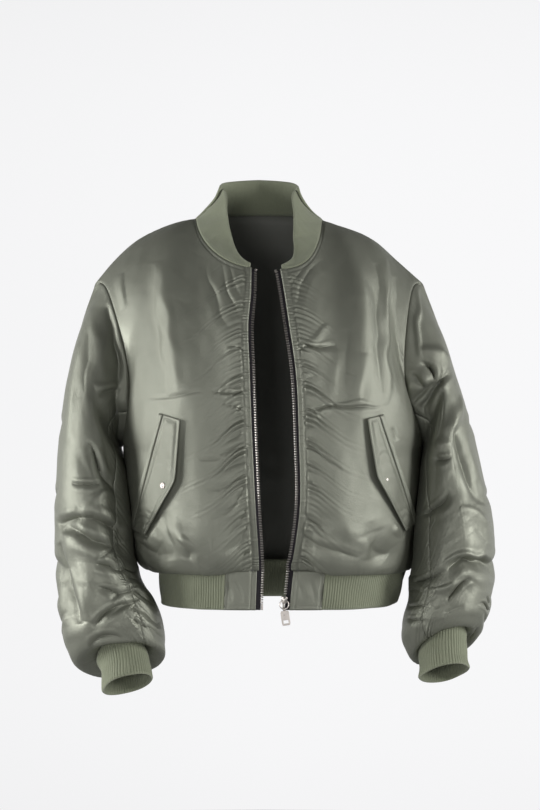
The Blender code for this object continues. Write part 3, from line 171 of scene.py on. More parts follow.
# --- largest folds: soft troughs between two points seen from one side ---
# view, first point and last point (x or y, height), width to each side, depth; below 0 is a ridge
FOLDS = (
    ("front", -0.165, -0.475, -0.150, -0.545, 0.020, 0.0066),   # hollow below the right pocket
    ("front", 0.055, -0.450, 0.130, -0.510, 0.018, 0.0036),     # left front, falling from the zip
    ("front", 0.170, -0.490, 0.185, -0.545, 0.022, 0.0060),     # hollow over the left hem
    ("front", -0.130, -0.110, -0.110, -0.300, 0.022, -0.0040),  # drape falling from each shoulder
    ("front", 0.150, -0.110, 0.160, -0.330, 0.022, -0.0040),
    ("front", -0.312, -0.492, -0.205, -0.520, 0.018, 0.0066),   # right elbow
    ("front", -0.270, -0.372, -0.232, -0.440, 0.018, 0.0042),
    ("front", -0.302, -0.545, -0.280, -0.640, 0.020, 0.0054),   # right forearm
    ("front", -0.180, -0.600, -0.250, -0.640, 0.017, 0.0042),
    ("front", 0.285, -0.240, 0.262, -0.335, 0.018, 0.0054),     # left upper arm
    ("front", 0.258, -0.480, 0.305, -0.430, 0.017, 0.0048),     # left elbow
    ("front", 0.290, -0.540, 0.362, -0.552, 0.018, 0.0060),     # left forearm
    ("front", 0.325, -0.580, 0.275, -0.612, 0.017, 0.0042),
    ("back", -0.305, -0.470, -0.225, -0.505, 0.020, 0.0054),    # elbows from behind
    ("back", -0.300, -0.590, -0.205, -0.625, 0.020, 0.0048),
    ("back", 0.275, -0.500, 0.350, -0.465, 0.020, 0.0054),
    ("back", 0.255, -0.615, 0.345, -0.590, 0.020, 0.0048),
    ("back", -0.090, -0.140, -0.070, -0.400, 0.030, 0.0040),    # drape down the back
    ("back", 0.110, -0.140, 0.100, -0.400, 0.030, 0.0040))
FOLD_END = 0.6            # share of its depth at each end of a fold
FOLD_RISE = 3.0           # and how fast it reaches the whole of it
GATHERS = 17              # waves round the blouse, over the hem band
GATHER_DEPTH = 0.0025
GATHER_HEIGHT = -0.528    # where they are deepest
GATHER_REACH = 0.026      # how far up and down they fade
GATHER_UNEVEN = 0.3       # five times round they are this much shallower

# --- pockets: corners of the flaps as x and height, on the fronts ---
FLAP = {-1: dict(top=(-0.1420, -0.3195), bottom=(-0.1910, -0.4975), free_top=(-0.1165, -0.3270),
                 point=(-0.1225, -0.4200), free_bottom=(-0.1700, -0.5050)),
        1: dict(top=(0.1800, -0.3210), bottom=(0.2370, -0.4900), free_top=(0.1620, -0.3250),
                point=(0.1750, -0.4150), free_bottom=(0.2210, -0.4980))}
FLAP_CLEAR = 0.0018       # room under the flap and the welt
FLAP_LIFT = 0.0060        # its free edge stands off the front, most in the middle of its length
FLAP_ENDS = 0.35          # share of that lift at its ends
WELT = 0.0065             # its width
WELT_APART = 0.0004       # from the flap's sewn edge
WELT_SLOPE = (0.96, 0.28)  # its direction from that edge, outwards and up
SNAP = {-1: (0.56, 0.70), 1: (0.54, 0.66)}   # along the flap and across it

# --- zip ---
TAPE_SHOWS = 0.0076       # tape beyond the cloth's edge
TAPE_UNDER = 0.0070       # tape behind the cloth
TAPE_BEHIND = 0.0010      # room between them for the cloth's mitres
TOOTH_ROW = (0.0032, 0.0026)
STOP = (0.0036, 0.0034, 0.0040)
ZIP_TOP = -0.0985         # height of the top stops
ZIP_FOOT = 0.0100         # pin and box, from the end of the teeth to the hem's edge
PIN = (0.0030, 0.0026)
BOX = (0.0032, 0.0034)
SLIDER_SIZE = (0.0096, 0.0074, 0.0110)
SLIDER_PLATE = 0.0020
SLIDER_POST = 0.0022
BRIDGE = dict(length=0.0088, bar=0.0014, width=0.0026, hole=0.0031, sunk=0.0008)
RING_RADIUS = 0.0068
RING_WIRE = 0.0009
EYE = dict(hole=0.0022, wall=0.0009, width=0.0040, sunk=0.0004)
TAB = dict(width=0.0130, length=0.0250, thickness=0.0016, window_width=0.0076, window_height=0.0050,
           foot=0.0030, lean=8.0)

# --- smaller creases: from a first to a last point seen from one side, the bow between them ---
# (above 0 to the left of its way), width, depth (below 0 a ridge) and taper, 1 from a seam
CREASE_COLUMNS = "x0 z0 x1 z1 bow width depth taper"
CREASES = {
    "front_right": table(CREASE_COLUMNS,
        (-0.164, -0.089, -0.141, -0.291, -0.003, 0.0136, 0.0030, 0),
        (-0.152, -0.083, -0.119, -0.291, -0.003, 0.0121, -0.0035, 0),
        (-0.090, -0.075, -0.113, -0.146, 0.000, 0.0121, -0.0015, 0),
        (-0.081, -0.089, -0.042, -0.192, -0.005, 0.0045, 0.0014, 0),
        (-0.057, -0.084, -0.026, -0.177, -0.005, 0.0039, 0.0015, 0),
        (-0.046, -0.083, -0.022, -0.146, -0.003, 0.0033, 0.0012, 0),
        (-0.214, -0.101, -0.211, -0.157, 0.000, 0.0053, -0.0025, 0),
        (-0.025, -0.288, -0.067, -0.285, 0.000, 0.0024, 0.0040, 1),
        (-0.082, -0.288, -0.164, -0.294, 0.000, 0.0026, 0.0013, 0),
        (-0.055, -0.385, -0.088, -0.387, 0.000, 0.0024, 0.0014, 0),
        (-0.144, -0.468, -0.128, -0.539, 0.003, 0.0103, 0.0042, 0),
        (-0.114, -0.511, -0.104, -0.503, 0.000, 0.0091, -0.0040, 0),
        (-0.104, -0.521, -0.110, -0.539, 0.000, 0.0091, 0.0030, 0),
        (-0.205, -0.497, -0.070, -0.505, 0.004, 0.0220, -0.0070, 0),
        (-0.190, -0.509, -0.149, -0.529, -0.003, 0.0060, 0.0040, 0),
        (-0.187, -0.533, -0.159, -0.566, -0.003, 0.0060, 0.0035, 0),
        (-0.176, -0.494, -0.144, -0.517, 0.000, 0.0076, -0.0030, 0),
        (-0.081, -0.192, -0.094, -0.328, 0.000, 0.0181, -0.0012, 0),
        (-0.049, -0.214, -0.055, -0.297, 0.000, 0.0151, 0.0012, 0),
        (-0.028, -0.346, -0.061, -0.368, 0.002, 0.0045, 0.0024, 1),
        (-0.026, -0.367, -0.067, -0.381, 0.002, 0.0045, 0.0026, 1),
        (-0.026, -0.391, -0.064, -0.406, 0.002, 0.0051, 0.0022, 1),
        (-0.023, -0.412, -0.082, -0.436, 0.006, 0.0048, 0.0026, 1),
        (-0.022, -0.433, -0.076, -0.479, 0.006, 0.0054, 0.0026, 1),
        (-0.019, -0.461, -0.061, -0.509, 0.005, 0.0054, 0.0024, 1),
        (-0.017, -0.486, -0.055, -0.533, 0.005, 0.0048, 0.0024, 1),
        (-0.014, -0.517, -0.040, -0.551, 0.003, 0.0045, 0.0024, 1),
        (-0.026, -0.225, -0.046, -0.216, -0.002, 0.0036, 0.0020, 1),
        (-0.025, -0.255, -0.049, -0.264, 0.002, 0.0036, 0.0022, 1),
        (-0.028, -0.275, -0.052, -0.282, 0.000, 0.0033, 0.0020, 1),
        (-0.026, -0.313, -0.055, -0.300, -0.002, 0.0039, 0.0022, 1)),
    "front_left": table(CREASE_COLUMNS,
        (0.196, -0.077, 0.193, -0.307, 0.002, 0.0054, -0.0032, 0),
        (0.181, -0.083, 0.184, -0.288, 0.000, 0.0091, 0.0030, 0),
        (0.211, -0.109, 0.220, -0.288, 0.000, 0.0106, 0.0036, 0),
        (0.067, -0.313, 0.185, -0.308, 0.002, 0.0026, 0.0026, 0),
        (0.117, -0.308, 0.172, -0.303, 0.005, 0.0036, -0.0014, 0),
        (0.055, -0.226, 0.119, -0.217, 0.005, 0.0034, 0.0042, 0.7),
        (0.072, -0.217, 0.107, -0.184, 0.002, 0.0060, -0.0016, 0),
        (0.048, -0.174, 0.066, -0.161, 0.000, 0.0038, 0.0020, 1),
        (0.042, -0.146, 0.078, -0.089, 0.005, 0.0045, 0.0020, 0.4),
        (0.049, -0.164, 0.096, -0.077, 0.005, 0.0045, 0.0018, 0.4),
        (0.039, -0.125, 0.058, -0.101, 0.000, 0.0036, 0.0016, 0.6),
        (0.058, -0.252, 0.081, -0.252, 0.000, 0.0033, 0.0016, 1),
        (0.060, -0.272, 0.090, -0.264, 0.002, 0.0036, 0.0018, 1),
        (0.119, -0.222, 0.105, -0.307, 0.002, 0.0091, -0.0015, 0),
        (0.159, -0.228, 0.152, -0.307, 0.000, 0.0091, -0.0020, 0),
        (0.135, -0.192, 0.131, -0.297, 0.000, 0.0106, 0.0015, 0),
        (0.067, -0.362, 0.096, -0.375, 0.002, 0.0039, 0.0026, 1),
        (0.075, -0.329, 0.105, -0.314, 0.002, 0.0039, -0.0016, 0),
        (0.067, -0.334, 0.090, -0.340, 0.000, 0.0039, 0.0020, 1),
        (0.069, -0.391, 0.087, -0.403, 0.000, 0.0051, 0.0024, 1),
        (0.067, -0.424, 0.093, -0.418, -0.003, 0.0045, 0.0020, 1),
        (0.063, -0.458, 0.110, -0.495, -0.005, 0.0048, 0.0032, 0.8),
        (0.061, -0.488, 0.155, -0.535, -0.011, 0.0063, 0.0040, 0.6),
        (0.061, -0.515, 0.093, -0.550, -0.003, 0.0060, 0.0030, 1),
        (0.064, -0.533, 0.079, -0.565, -0.002, 0.0045, 0.0024, 1),
        (0.088, -0.376, 0.125, -0.405, 0.002, 0.0030, 0.0010, 0),
        (0.172, -0.511, 0.197, -0.533, -0.005, 0.0116, 0.0035, 0),
        (0.085, -0.503, 0.225, -0.497, 0.004, 0.0200, -0.0050, 0),
        (0.205, -0.503, 0.218, -0.486, 0.002, 0.0060, -0.0025, 0),
        (0.156, -0.503, 0.166, -0.539, 0.002, 0.0060, -0.0020, 0),
        (0.202, -0.343, 0.211, -0.361, 0.000, 0.0045, 0.0018, 0),
        (0.108, -0.449, 0.141, -0.509, 0.000, 0.0151, -0.0015, 0)),
    "sleeve_right": table(CREASE_COLUMNS,
        (-0.307, -0.490, -0.270, -0.472, 0.000, 0.0085, 0.0105, 0),
        (-0.275, -0.473, -0.204, -0.503, 0.003, 0.0100, 0.0120, 0),
        (-0.298, -0.492, -0.222, -0.522, 0.000, 0.0070, 0.0075, 0),
        (-0.270, -0.466, -0.202, -0.501, 0.005, 0.0060, -0.0037, 0),
        (-0.312, -0.501, -0.217, -0.540, 0.003, 0.0073, -0.0037, 0),
        (-0.282, -0.424, -0.244, -0.424, -0.002, 0.0034, 0.0050, 0),
        (-0.258, -0.368, -0.217, -0.439, -0.005, 0.0058, 0.0078, 0.5),
        (-0.270, -0.466, -0.225, -0.435, 0.003, 0.0060, -0.0031, 0),
        (-0.304, -0.515, -0.268, -0.640, -0.006, 0.0095, 0.0115, 0),
        (-0.258, -0.544, -0.264, -0.634, 0.000, 0.0108, -0.0037, 0),
        (-0.254, -0.642, -0.197, -0.605, 0.005, 0.0052, 0.0070, 0),
        (-0.261, -0.674, -0.213, -0.659, 0.009, 0.0050, 0.0066, 0),
        (-0.251, -0.687, -0.186, -0.668, 0.008, 0.0060, -0.0037, 0),
        (-0.243, -0.583, -0.209, -0.595, 0.002, 0.0045, 0.0056, 0),
        (-0.248, -0.540, -0.203, -0.517, 0.002, 0.0030, 0.0025, 0),
        (-0.247, -0.543, -0.213, -0.556, 0.002, 0.0042, 0.0056, 0),
        (-0.236, -0.147, -0.216, -0.268, 0.003, 0.0084, 0.0100, 0),
        (-0.254, -0.280, -0.211, -0.276, 0.005, 0.0048, -0.0037, 0),
        (-0.250, -0.290, -0.213, -0.286, 0.005, 0.0042, 0.0037, 0),
        (-0.221, -0.210, -0.211, -0.540, 0.003, 0.0100, 0.0110, 0),
        (-0.284, -0.212, -0.295, -0.359, 0.000, 0.0108, -0.0025, 0),
        (-0.264, -0.189, -0.270, -0.297, 0.000, 0.0084, 0.0019, 0),
        (-0.196, -0.572, -0.156, -0.597, 0.003, 0.0036, 0.0037, 1),
        (-0.193, -0.591, -0.151, -0.626, 0.003, 0.0042, 0.0037, 1),
        (-0.190, -0.612, -0.148, -0.654, 0.003, 0.0042, 0.0037, 1),
        (-0.188, -0.632, -0.149, -0.670, 0.003, 0.0036, 0.0031, 1),
        (-0.194, -0.563, -0.227, -0.554, -0.002, 0.0036, 0.0031, 1),
        (-0.193, -0.585, -0.230, -0.606, -0.002, 0.0042, 0.0031, 1),
        (-0.191, -0.606, -0.227, -0.634, -0.003, 0.0036, 0.0031, 1)),
    "sleeve_left": table(CREASE_COLUMNS,
        (0.251, -0.118, 0.248, -0.229, 0.000, 0.0030, -0.0037, 0),
        (0.251, -0.215, 0.294, -0.252, 0.011, 0.0060, -0.0050, 0),
        (0.294, -0.257, 0.255, -0.314, -0.005, 0.0065, 0.0110, 0),
        (0.248, -0.237, 0.271, -0.266, 0.008, 0.0062, 0.0095, 0),
        (0.271, -0.266, 0.243, -0.305, -0.003, 0.0062, 0.0095, 0),
        (0.241, -0.254, 0.252, -0.279, 0.000, 0.0048, 0.0050, 0),
        (0.319, -0.297, 0.294, -0.365, -0.005, 0.0066, -0.0063, 0),
        (0.294, -0.365, 0.268, -0.379, -0.003, 0.0060, -0.0050, 0),
        (0.268, -0.384, 0.291, -0.388, -0.003, 0.0036, 0.0060, 0),
        (0.300, -0.336, 0.343, -0.459, -0.006, 0.0110, 0.0100, 0),
        (0.244, -0.475, 0.265, -0.447, 0.000, 0.0031, 0.0037, 1),
        (0.248, -0.480, 0.295, -0.433, -0.005, 0.0040, 0.0075, 0.6),
        (0.261, -0.447, 0.266, -0.405, 0.002, 0.0048, -0.0031, 0),
        (0.309, -0.459, 0.359, -0.493, 0.003, 0.0060, -0.0037, 0),
        (0.326, -0.483, 0.353, -0.521, 0.000, 0.0084, 0.0025, 0),
        (0.286, -0.554, 0.362, -0.555, 0.014, 0.0080, 0.0115, 0),
        (0.283, -0.546, 0.360, -0.548, 0.017, 0.0048, -0.0044, 0),
        (0.248, -0.577, 0.288, -0.554, 0.003, 0.0046, 0.0070, 1),
        (0.322, -0.571, 0.285, -0.603, -0.002, 0.0048, 0.0080, 0),
        (0.235, -0.597, 0.323, -0.572, 0.003, 0.0048, -0.0037, 0),
        (0.343, -0.606, 0.357, -0.622, 0.000, 0.0027, 0.0037, 0),
        (0.351, -0.597, 0.360, -0.612, 0.000, 0.0027, 0.0031, 0),
        (0.336, -0.649, 0.323, -0.673, 0.002, 0.0036, 0.0044, 0),
        (0.326, -0.656, 0.314, -0.676, 0.002, 0.0031, 0.0031, 0),
        (0.227, -0.575, 0.255, -0.569, 0.002, 0.0036, 0.0031, 1),
        (0.229, -0.594, 0.265, -0.591, 0.002, 0.0036, 0.0031, 1),
        (0.232, -0.614, 0.268, -0.617, 0.002, 0.0036, 0.0031, 1),
        (0.235, -0.634, 0.265, -0.640, 0.002, 0.0036, 0.0031, 1),
        (0.280, -0.622, 0.314, -0.612, 0.003, 0.0060, 0.0025, 0)),
    "back": table(CREASE_COLUMNS,
        (-0.175, -0.060, -0.120, -0.190, 0.006, 0.0120, 0.0030, 1),
        (-0.205, -0.150, -0.135, -0.215, 0.005, 0.0080, 0.0034, 1),
        (-0.210, -0.215, -0.150, -0.275, 0.004, 0.0070, 0.0030, 1),
        (-0.212, -0.290, -0.150, -0.345, -0.004, 0.0090, 0.0026, 1),
        (0.245, -0.150, 0.170, -0.225, -0.006, 0.0090, 0.0032, 1),
        (0.250, -0.230, 0.190, -0.290, -0.005, 0.0070, 0.0030, 1),
        (0.254, -0.300, 0.185, -0.360, 0.003, 0.0100, 0.0026, 1),
        (0.205, -0.070, 0.160, -0.200, -0.004, 0.0130, 0.0026, 1),
        (-0.060, -0.040, -0.040, -0.150, 0.003, 0.0150, 0.0020, 1),
        (0.080, -0.045, 0.065, -0.170, -0.003, 0.0140, 0.0020, 1),
        (-0.130, -0.300, -0.030, -0.340, 0.010, 0.0110, 0.0022, 0),
        (0.165, -0.330, 0.060, -0.375, -0.010, 0.0120, 0.0024, 0),
        (-0.180, -0.390, -0.080, -0.430, 0.006, 0.0100, 0.0030, 0),
        (0.200, -0.400, 0.120, -0.445, -0.008, 0.0110, 0.0030, 0),
        (-0.040, -0.420, 0.050, -0.430, 0.006, 0.0120, 0.0024, 0),
        (-0.170, -0.560, -0.140, -0.470, 0.008, 0.0090, 0.0046, 1),
        (-0.120, -0.560, -0.100, -0.485, -0.006, 0.0080, 0.0040, 1),
        (-0.075, -0.560, -0.065, -0.465, 0.005, 0.0100, 0.0044, 1),
        (-0.030, -0.560, -0.020, -0.495, -0.004, 0.0070, 0.0038, 1),
        (0.010, -0.560, 0.020, -0.475, 0.006, 0.0100, 0.0044, 1),
        (0.060, -0.560, 0.055, -0.500, 0.004, 0.0080, 0.0036, 1),
        (0.110, -0.560, 0.095, -0.470, -0.006, 0.0100, 0.0046, 1),
        (0.155, -0.560, 0.145, -0.490, 0.005, 0.0080, 0.0040, 1),
        (0.205, -0.560, 0.185, -0.460, -0.006, 0.0100, 0.0046, 1)),
    "outer_sleeve": table(CREASE_COLUMNS,
        (-0.060, -0.330, 0.050, -0.375, 0.010, 0.0080, 0.0030, 0),
        (0.075, -0.380, -0.030, -0.430, -0.010, 0.0090, 0.0034, 0),
        (-0.085, -0.440, 0.020, -0.470, 0.006, 0.0070, 0.0036, 0),
        (0.070, -0.485, -0.050, -0.520, -0.008, 0.0100, 0.0042, 0),
        (-0.095, -0.560, 0.030, -0.540, 0.008, 0.0090, 0.0040, 0),
        (0.050, -0.590, -0.080, -0.610, -0.006, 0.0090, 0.0042, 0),
        (-0.020, -0.655, -0.100, -0.625, 0.005, 0.0070, 0.0036, 0)),
    "hem_tab_right": table(CREASE_COLUMNS,
        (-0.052, -0.566, -0.040, -0.602, 0.002, 0.0040, 0.0016, 0),
        (-0.036, -0.572, -0.024, -0.606, 0.001, 0.0036, 0.0012, 0),
        (-0.060, -0.590, -0.052, -0.612, 0.000, 0.0040, -0.0010, 0)),
    "hem_tab_left": table(CREASE_COLUMNS,
        (0.058, -0.566, 0.072, -0.600, -0.002, 0.0040, 0.0014, 0),
        (0.078, -0.572, 0.086, -0.606, 0.001, 0.0036, 0.0012, 0))}

# --- curves and grids ---


def smooth(knots, values, at):
    """Cubic curve through values at the knots, with each knot's slope from its neighbours."""
    knots, values, at = (np.asarray(part, float) for part in (knots, values, at))
    if knots[0] > knots[-1]:
        knots, values = knots[::-1], values[::-1]
    slopes = np.gradient(values, knots, axis=0)
    at = np.clip(at, knots[0], knots[-1])
    low = np.clip(np.searchsorted(knots, at, side="right") - 1, 0, len(knots) - 2)
    step = knots[low + 1] - knots[low]
    t = (at - knots[low]) / step
    extra = (1,) * (values.ndim - 1)
    t, step = t.reshape(t.shape + extra), step.reshape(step.shape + extra)
    return ((2 * t**3 - 3 * t**2 + 1) * values[low] + (t**3 - 2 * t**2 + t) * step * slopes[low]
            + (3 * t**2 - 2 * t**3) * values[low + 1] + (t**3 - t**2) * step * slopes[low + 1])


def unit(vectors):
    """Vectors at length 1."""
    return vectors / np.maximum(np.linalg.norm(vectors, axis=-1, keepdims=True), 1e-12)


def lengths(points):
    """Distance along a line of points, from its first."""
    return np.concatenate([[0.0], np.cumsum(np.linalg.norm(np.diff(points, axis=0), axis=1))])


def along(points, stations):
    """Points of a line at the given distances from its start."""
    run = lengths(points)
    return np.stack([np.interp(stations, run, points[:, axis]) for axis in range(3)], axis=1)


def even(points, cells):
    """A line divided into equal lengths."""
    return along(points, np.linspace(0, lengths(points)[-1], cells + 1))


def full_turn(count):
    """Angles evenly round a full turn."""
    return np.linspace(0, 2 * math.pi, count, endpoint=False)


def squared(values, power):
    """Values to a power, each with its own sign: below 1 it squares off a sine or cosine."""
    return np.sign(values) * np.abs(values) ** power


def subdivide(counts):
    """Row places between table rows, as fractional row numbers."""
    inner = [low + step / count for low, count in enumerate(counts) for step in range(count)]
    return np.array(inner + [len(counts)])

# --- body form ---


def body_sections(rows):
    """Sizes of the body at fractional rows of its table."""
    places = np.arange(len(BODY["height"]))
    return {name: smooth(places, column, rows) for name, column in BODY.items()}


def quarter(middle_x, side_x, middle_y, height, fine=160):
    """Quarter of a rounded oblong, from the body's middle to its side seam.

    x grows with sin(angle) and y falls with cos(angle), each to the power 2 / squareness.
    """
    angle = np.linspace(0, math.pi / 2, fine)
    x = middle_x + (side_x - middle_x) * np.sin(angle) ** (2 / SQUARENESS)
    y = SIDE_Y + (middle_y - SIDE_Y) * np.cos(angle) ** (2 / DEPTH_SQUARENESS)
    return np.stack([x, y, np.full(fine, height)], axis=1)


def front_columns(line):
    """Narrow columns beside the zip, then even ones to the side seam."""
    end = lengths(line)[-1]
    edge = EDGE_STEP * np.arange(EDGE_COLUMNS)
    rest = NECK_COLUMNS + SHOULDER_COLUMNS - EDGE_COLUMNS
    return along(line, np.concatenate([edge, np.linspace(EDGE_COLUMNS * EDGE_STEP, end, rest + 1)]))


def side_name(side):
    """Table column of a side: -1 is the wearer's right."""
    return "right" if side < 0 else "left"


def opening_x(side, heights):
    """Front edge beside the zip."""
    return smooth(OPENING["height"], OPENING[side_name(side)], heights)


def neck_front(side, cells):
    """Neckline from the front edge to the side neck: a quarter ellipse that drops to the front."""
    angle = np.linspace(0, math.pi / 2, 200)
    x = side * NECK_X * np.cos(angle) ** NECK_ROUND[side]
    y = SHOULDER_Y - (NECK_FRONT + SHOULDER_Y) * np.sin(angle)
    z = SHOULDER[side]["height"][0] - NECK_DROP * np.sin(angle) ** NECK_FALL
    edge = OPENING[side_name(side)][-1]
    last = np.argmax(side * x < side * edge) if side * edge > 0 else len(x) - 1
    line = np.stack([x, y, z], axis=1)[:last + 1]
    line[-1, 0] = edge
    return even(line[::-1], cells)


def neck_back(side, cells):
    """Neckline from the side neck to the centre back, rising a little."""
    angle = np.linspace(0, math.pi / 2, 100)
    x = side * NECK_X * np.cos(angle)
    y = SHOULDER_Y + (NECK_BACK - SHOULDER_Y) * np.sin(angle)
    z = SHOULDER[side]["height"][0] + (BACK_NECK_HEIGHT - SHOULDER[side]["height"][0]) * np.sin(angle)
    return even(np.stack([x, y, z], axis=1), cells)


def shoulder_seam(side, cells):
    """Shoulder seam from the neck to the tip."""
    seam = SHOULDER[side]
    x = np.linspace(seam["x"][0], seam["x"][-1], 100)
    z = smooth(seam["x"], seam["height"], x)
    return even(np.stack([x, np.full(100, SHOULDER_Y), z], axis=1), cells)


def armhole(side, angles):
    """Armhole loop: the tip at angle 0, the front at a quarter turn, the armpit at a half turn."""
    tip = np.array([SHOULDER[side]["x"][-1], SHOULDER_Y, SHOULDER[side]["height"][-1]])
    pit = np.array([ARMPIT[side][0], SIDE_Y, ARMPIT[side][1]])
    loop = (tip + pit) / 2 + np.cos(angles)[:, None] * (tip - pit) / 2
    across = np.sin(angles)
    loop[:, 0] -= side * ARMHOLE_INSET * np.abs(across) ** (ARMHOLE_SET[0] - ARMHOLE_SET[1] * np.cos(angles))
    loop[:, 1] -= ARMHOLE_DEPTH * across
    return loop


def cap(below, low, top, direction, armhole_edge, other_edge=None):
    """Upper part of a panel: each column turns over the chest to the top of the panel.

    A cubic runs from the armpit row to the top, and the outer columns are drawn to the armhole.
    """
    climb = np.abs(top - low)
    start = unit(low - below) * CAP_FULLNESS * climb[:, 2:]
    end = direction * CAP_FULLNESS * (climb * np.abs(direction)).sum(axis=1, keepdims=True)
    v = np.linspace(0, 1, ARMHOLE_ROWS + 1)[:, None, None]
    rows = ((2 * v**3 - 3 * v**2 + 1) * low + (v**3 - 2 * v**2 + v) * start
            + (3 * v**2 - 2 * v**3) * top + (v**3 - v**2) * end)
    share = np.linspace(0, 1, low.shape[0])[None, :, None]
    rows = rows + (armhole_edge - rows[:, -1])[:, None] * share**ARMHOLE_PULL
    if other_edge is not None:
        shift = other_edge(rows[:, 0, 2]) - rows[:, 0, 0]
        rows[..., 0] += shift[:, None] * (1 - share[..., 0]) ** ZIP_PULL
    return rows[1:]


def top_direction(side, face, cells):
    """Unit direction of each column at the top of a panel; face is -1 in front and 1 behind."""
    share = np.linspace(0, 1, cells + 1)
    parts = [smooth(TOP_DIRECTION["share"], TOP_DIRECTION[name], share)
             for name in ("to_neck", "to_middle", "up")]
    return unit(np.stack([-side * parts[0], -face * parts[1], parts[2]], axis=1))


def front_panel(side):
    """Middle surface of one front: rows from the hem seam up, columns from the zip to the side."""
    sizes = body_sections(subdivide(BODY_ROWS))
    edge = opening_x(side, sizes["height"])
    rows = [front_columns(quarter(edge[row], sizes[side_name(side)][row], sizes["front"][row], height))
            for row, height in enumerate(sizes["height"])]
    lower = np.stack(rows)
    flat = 1 - rise(np.stack([lengths(row) for row in lower]) / EDGE_FADE)
    lower[..., 1] += flat * (sizes["edge_y"] - sizes["front"])[:, None]
    lower[..., 2] += flat * (sizes["edge_height"] - sizes["height"])[:, None]
    neck = neck_front(side, NECK_COLUMNS)
    top = np.concatenate([neck, shoulder_seam(side, SHOULDER_COLUMNS)[1:]])
    angles = np.linspace(math.pi, 0, ARMHOLE_ROWS + 1)
    upper = cap(lower[-2], lower[-1], top, top_direction(side, -1, NECK_COLUMNS + SHOULDER_COLUMNS),
                armhole(side, angles), lambda heights: opening_x(side, heights))
    return np.concatenate([lower, upper])


def back_panel():
    """Middle surface of the back: columns from the right side seam round to the left."""
    sizes = body_sections(subdivide(BODY_ROWS))
    middle = (sizes["right"] + sizes["left"]) / 2
    cells = BACK_NECK_COLUMNS + SHOULDER_COLUMNS
    angles = np.linspace(math.pi, 2 * math.pi, ARMHOLE_ROWS + 1)
    halves = {}
    for side in (-1, 1):
        rows = [even(quarter(middle[row], sizes[side_name(side)][row], sizes["back"][row], height), cells)
                for row, height in enumerate(sizes["height"])]
        lower = np.stack(rows)
        top = np.concatenate([neck_back(side, BACK_NECK_COLUMNS)[::-1],
                              shoulder_seam(side, SHOULDER_COLUMNS)[1:]])
        upper = cap(lower[-2], lower[-1], top, top_direction(side, 1, cells), armhole(side, angles))
        halves[side] = np.concatenate([lower, upper])
    return np.concatenate([halves[-1][:, ::-1], halves[1][:, 1:]], axis=1)

# --- sleeves and cuffs ---


def rings(sizes, angles):
    """Rings of a sleeve or cuff: an ellipse between the outer and the inner point of each section."""
    outer = np.stack([sizes["x_out"], sizes["y"], sizes["z_out"]], axis=1)[:, None]
    inner = np.stack([sizes["x_in"], sizes["y"], sizes["z_in"]], axis=1)[:, None]
    tilt = np.radians(sizes["tilt"])
    forward = np.stack([0 * tilt, -np.cos(tilt), np.sin(tilt)], axis=1) * sizes["depth"][:, None]
    return ((outer + inner) / 2 + np.cos(angles)[None, :, None] * (outer - inner) / 2
            + np.sin(angles)[None, :, None] * forward[:, None])


def pressed(points, side):
    """Sleeve points kept outside the body's side, from the armpit down to the blouse."""
    height, y = points[..., 2], points[..., 1]
    sizes = {name: np.interp(height + PRESS_ROLL, BODY["height"][1:], column[1:])
             for name, column in BODY.items()}
    reach = np.where(y < SIDE_Y, sizes["front"], sizes["back"]) - SIDE_Y
    share = np.clip((y - SIDE_Y) / reach, 0, 1)
    width = (1 - share**DEPTH_SQUARENESS) ** (1 / SQUARENESS)
    limit = side * (BODY_AXIS[0] + (sizes[side_name(side)] - BODY_AXIS[0]) * width)
    limit += PRESS + PRESS_FORWARD * share
    inside = np.minimum(ARMPIT[side][1] - height, height - BODY["height"][1] + PRESS_FADE)
    fade = np.clip(inside / PRESS_FADE, 0, 1)
    x = side * points[..., 0]
    moved = points.copy()
    moved[..., 0] = side * (x + fade * np.maximum(limit - x, 0))
    return moved


def sleeve_tube(side):
    """Middle surface of a whole sleeve: rows from the armhole down, columns from the outer arm forward."""
    angles = np.linspace(0, 2 * math.pi, 2 * ARMHOLE_ROWS + 1)
    loops = np.concatenate([armhole(side, angles)[None], rings(SLEEVES[side], angles)])
    places = lengths(loops.mean(axis=1))
    wanted = np.interp(subdivide(SLEEVE_ROWS), np.arange(len(places)), places)
    return pressed(smooth(places, loops, wanted), side)

# --- folds ---
VIEWS = {"front": (0, (0, -1, 0)), "back": (0, (0, 1, 0)), "right": (1, (-1, 0, 0)), "left": (1, (1, 0, 0))}


def fold(points, outward):
    """Troughs and ridges of the fold table, along the outward normals.

    The depth falls off as a bell across the fold's line and fades towards each end. A fold shows
    only on cloth that faces its view.
    """
    shift = np.zeros(points.shape[:-1])
    for view, a0, z0, a1, z1, width, depth in FOLDS:
        axis, facing = VIEWS[view]
        seen = np.stack([points[..., axis], points[..., 2]], axis=-1)
        start, run = np.array([a0, z0]), np.array([a1 - a0, z1 - z0])
        share = ((seen - start) @ run) / (run @ run)
        nearest = start + np.clip(share, 0, 1)[..., None] * run
        away = np.linalg.norm(seen - nearest, axis=-1)
        ends = np.clip(np.minimum(share, 1 - share) * FOLD_RISE + FOLD_END, 0, 1)
        shown = np.clip((outward @ np.array(facing)) * 2, 0, 1)
        shift -= depth * np.exp(-((away / width) ** 2)) * ends * shown
    return points + outward * shift[..., None]


def gather(points, outward):
    """Soft waves in the blouse over the hem band, along the outward normals."""
    turn = np.arctan2(points[..., 0] - BODY_AXIS[0], BODY_AXIS[1] - points[..., 1])
    near = np.exp(-(((points[..., 2] - GATHER_HEIGHT) / GATHER_REACH) ** 2))
    wave = np.cos(turn * GATHERS) * (1 - GATHER_UNEVEN + GATHER_UNEVEN * np.cos(turn * 5))
    return points + outward * (GATHER_DEPTH * near * wave)[..., None]

# --- sheets ---


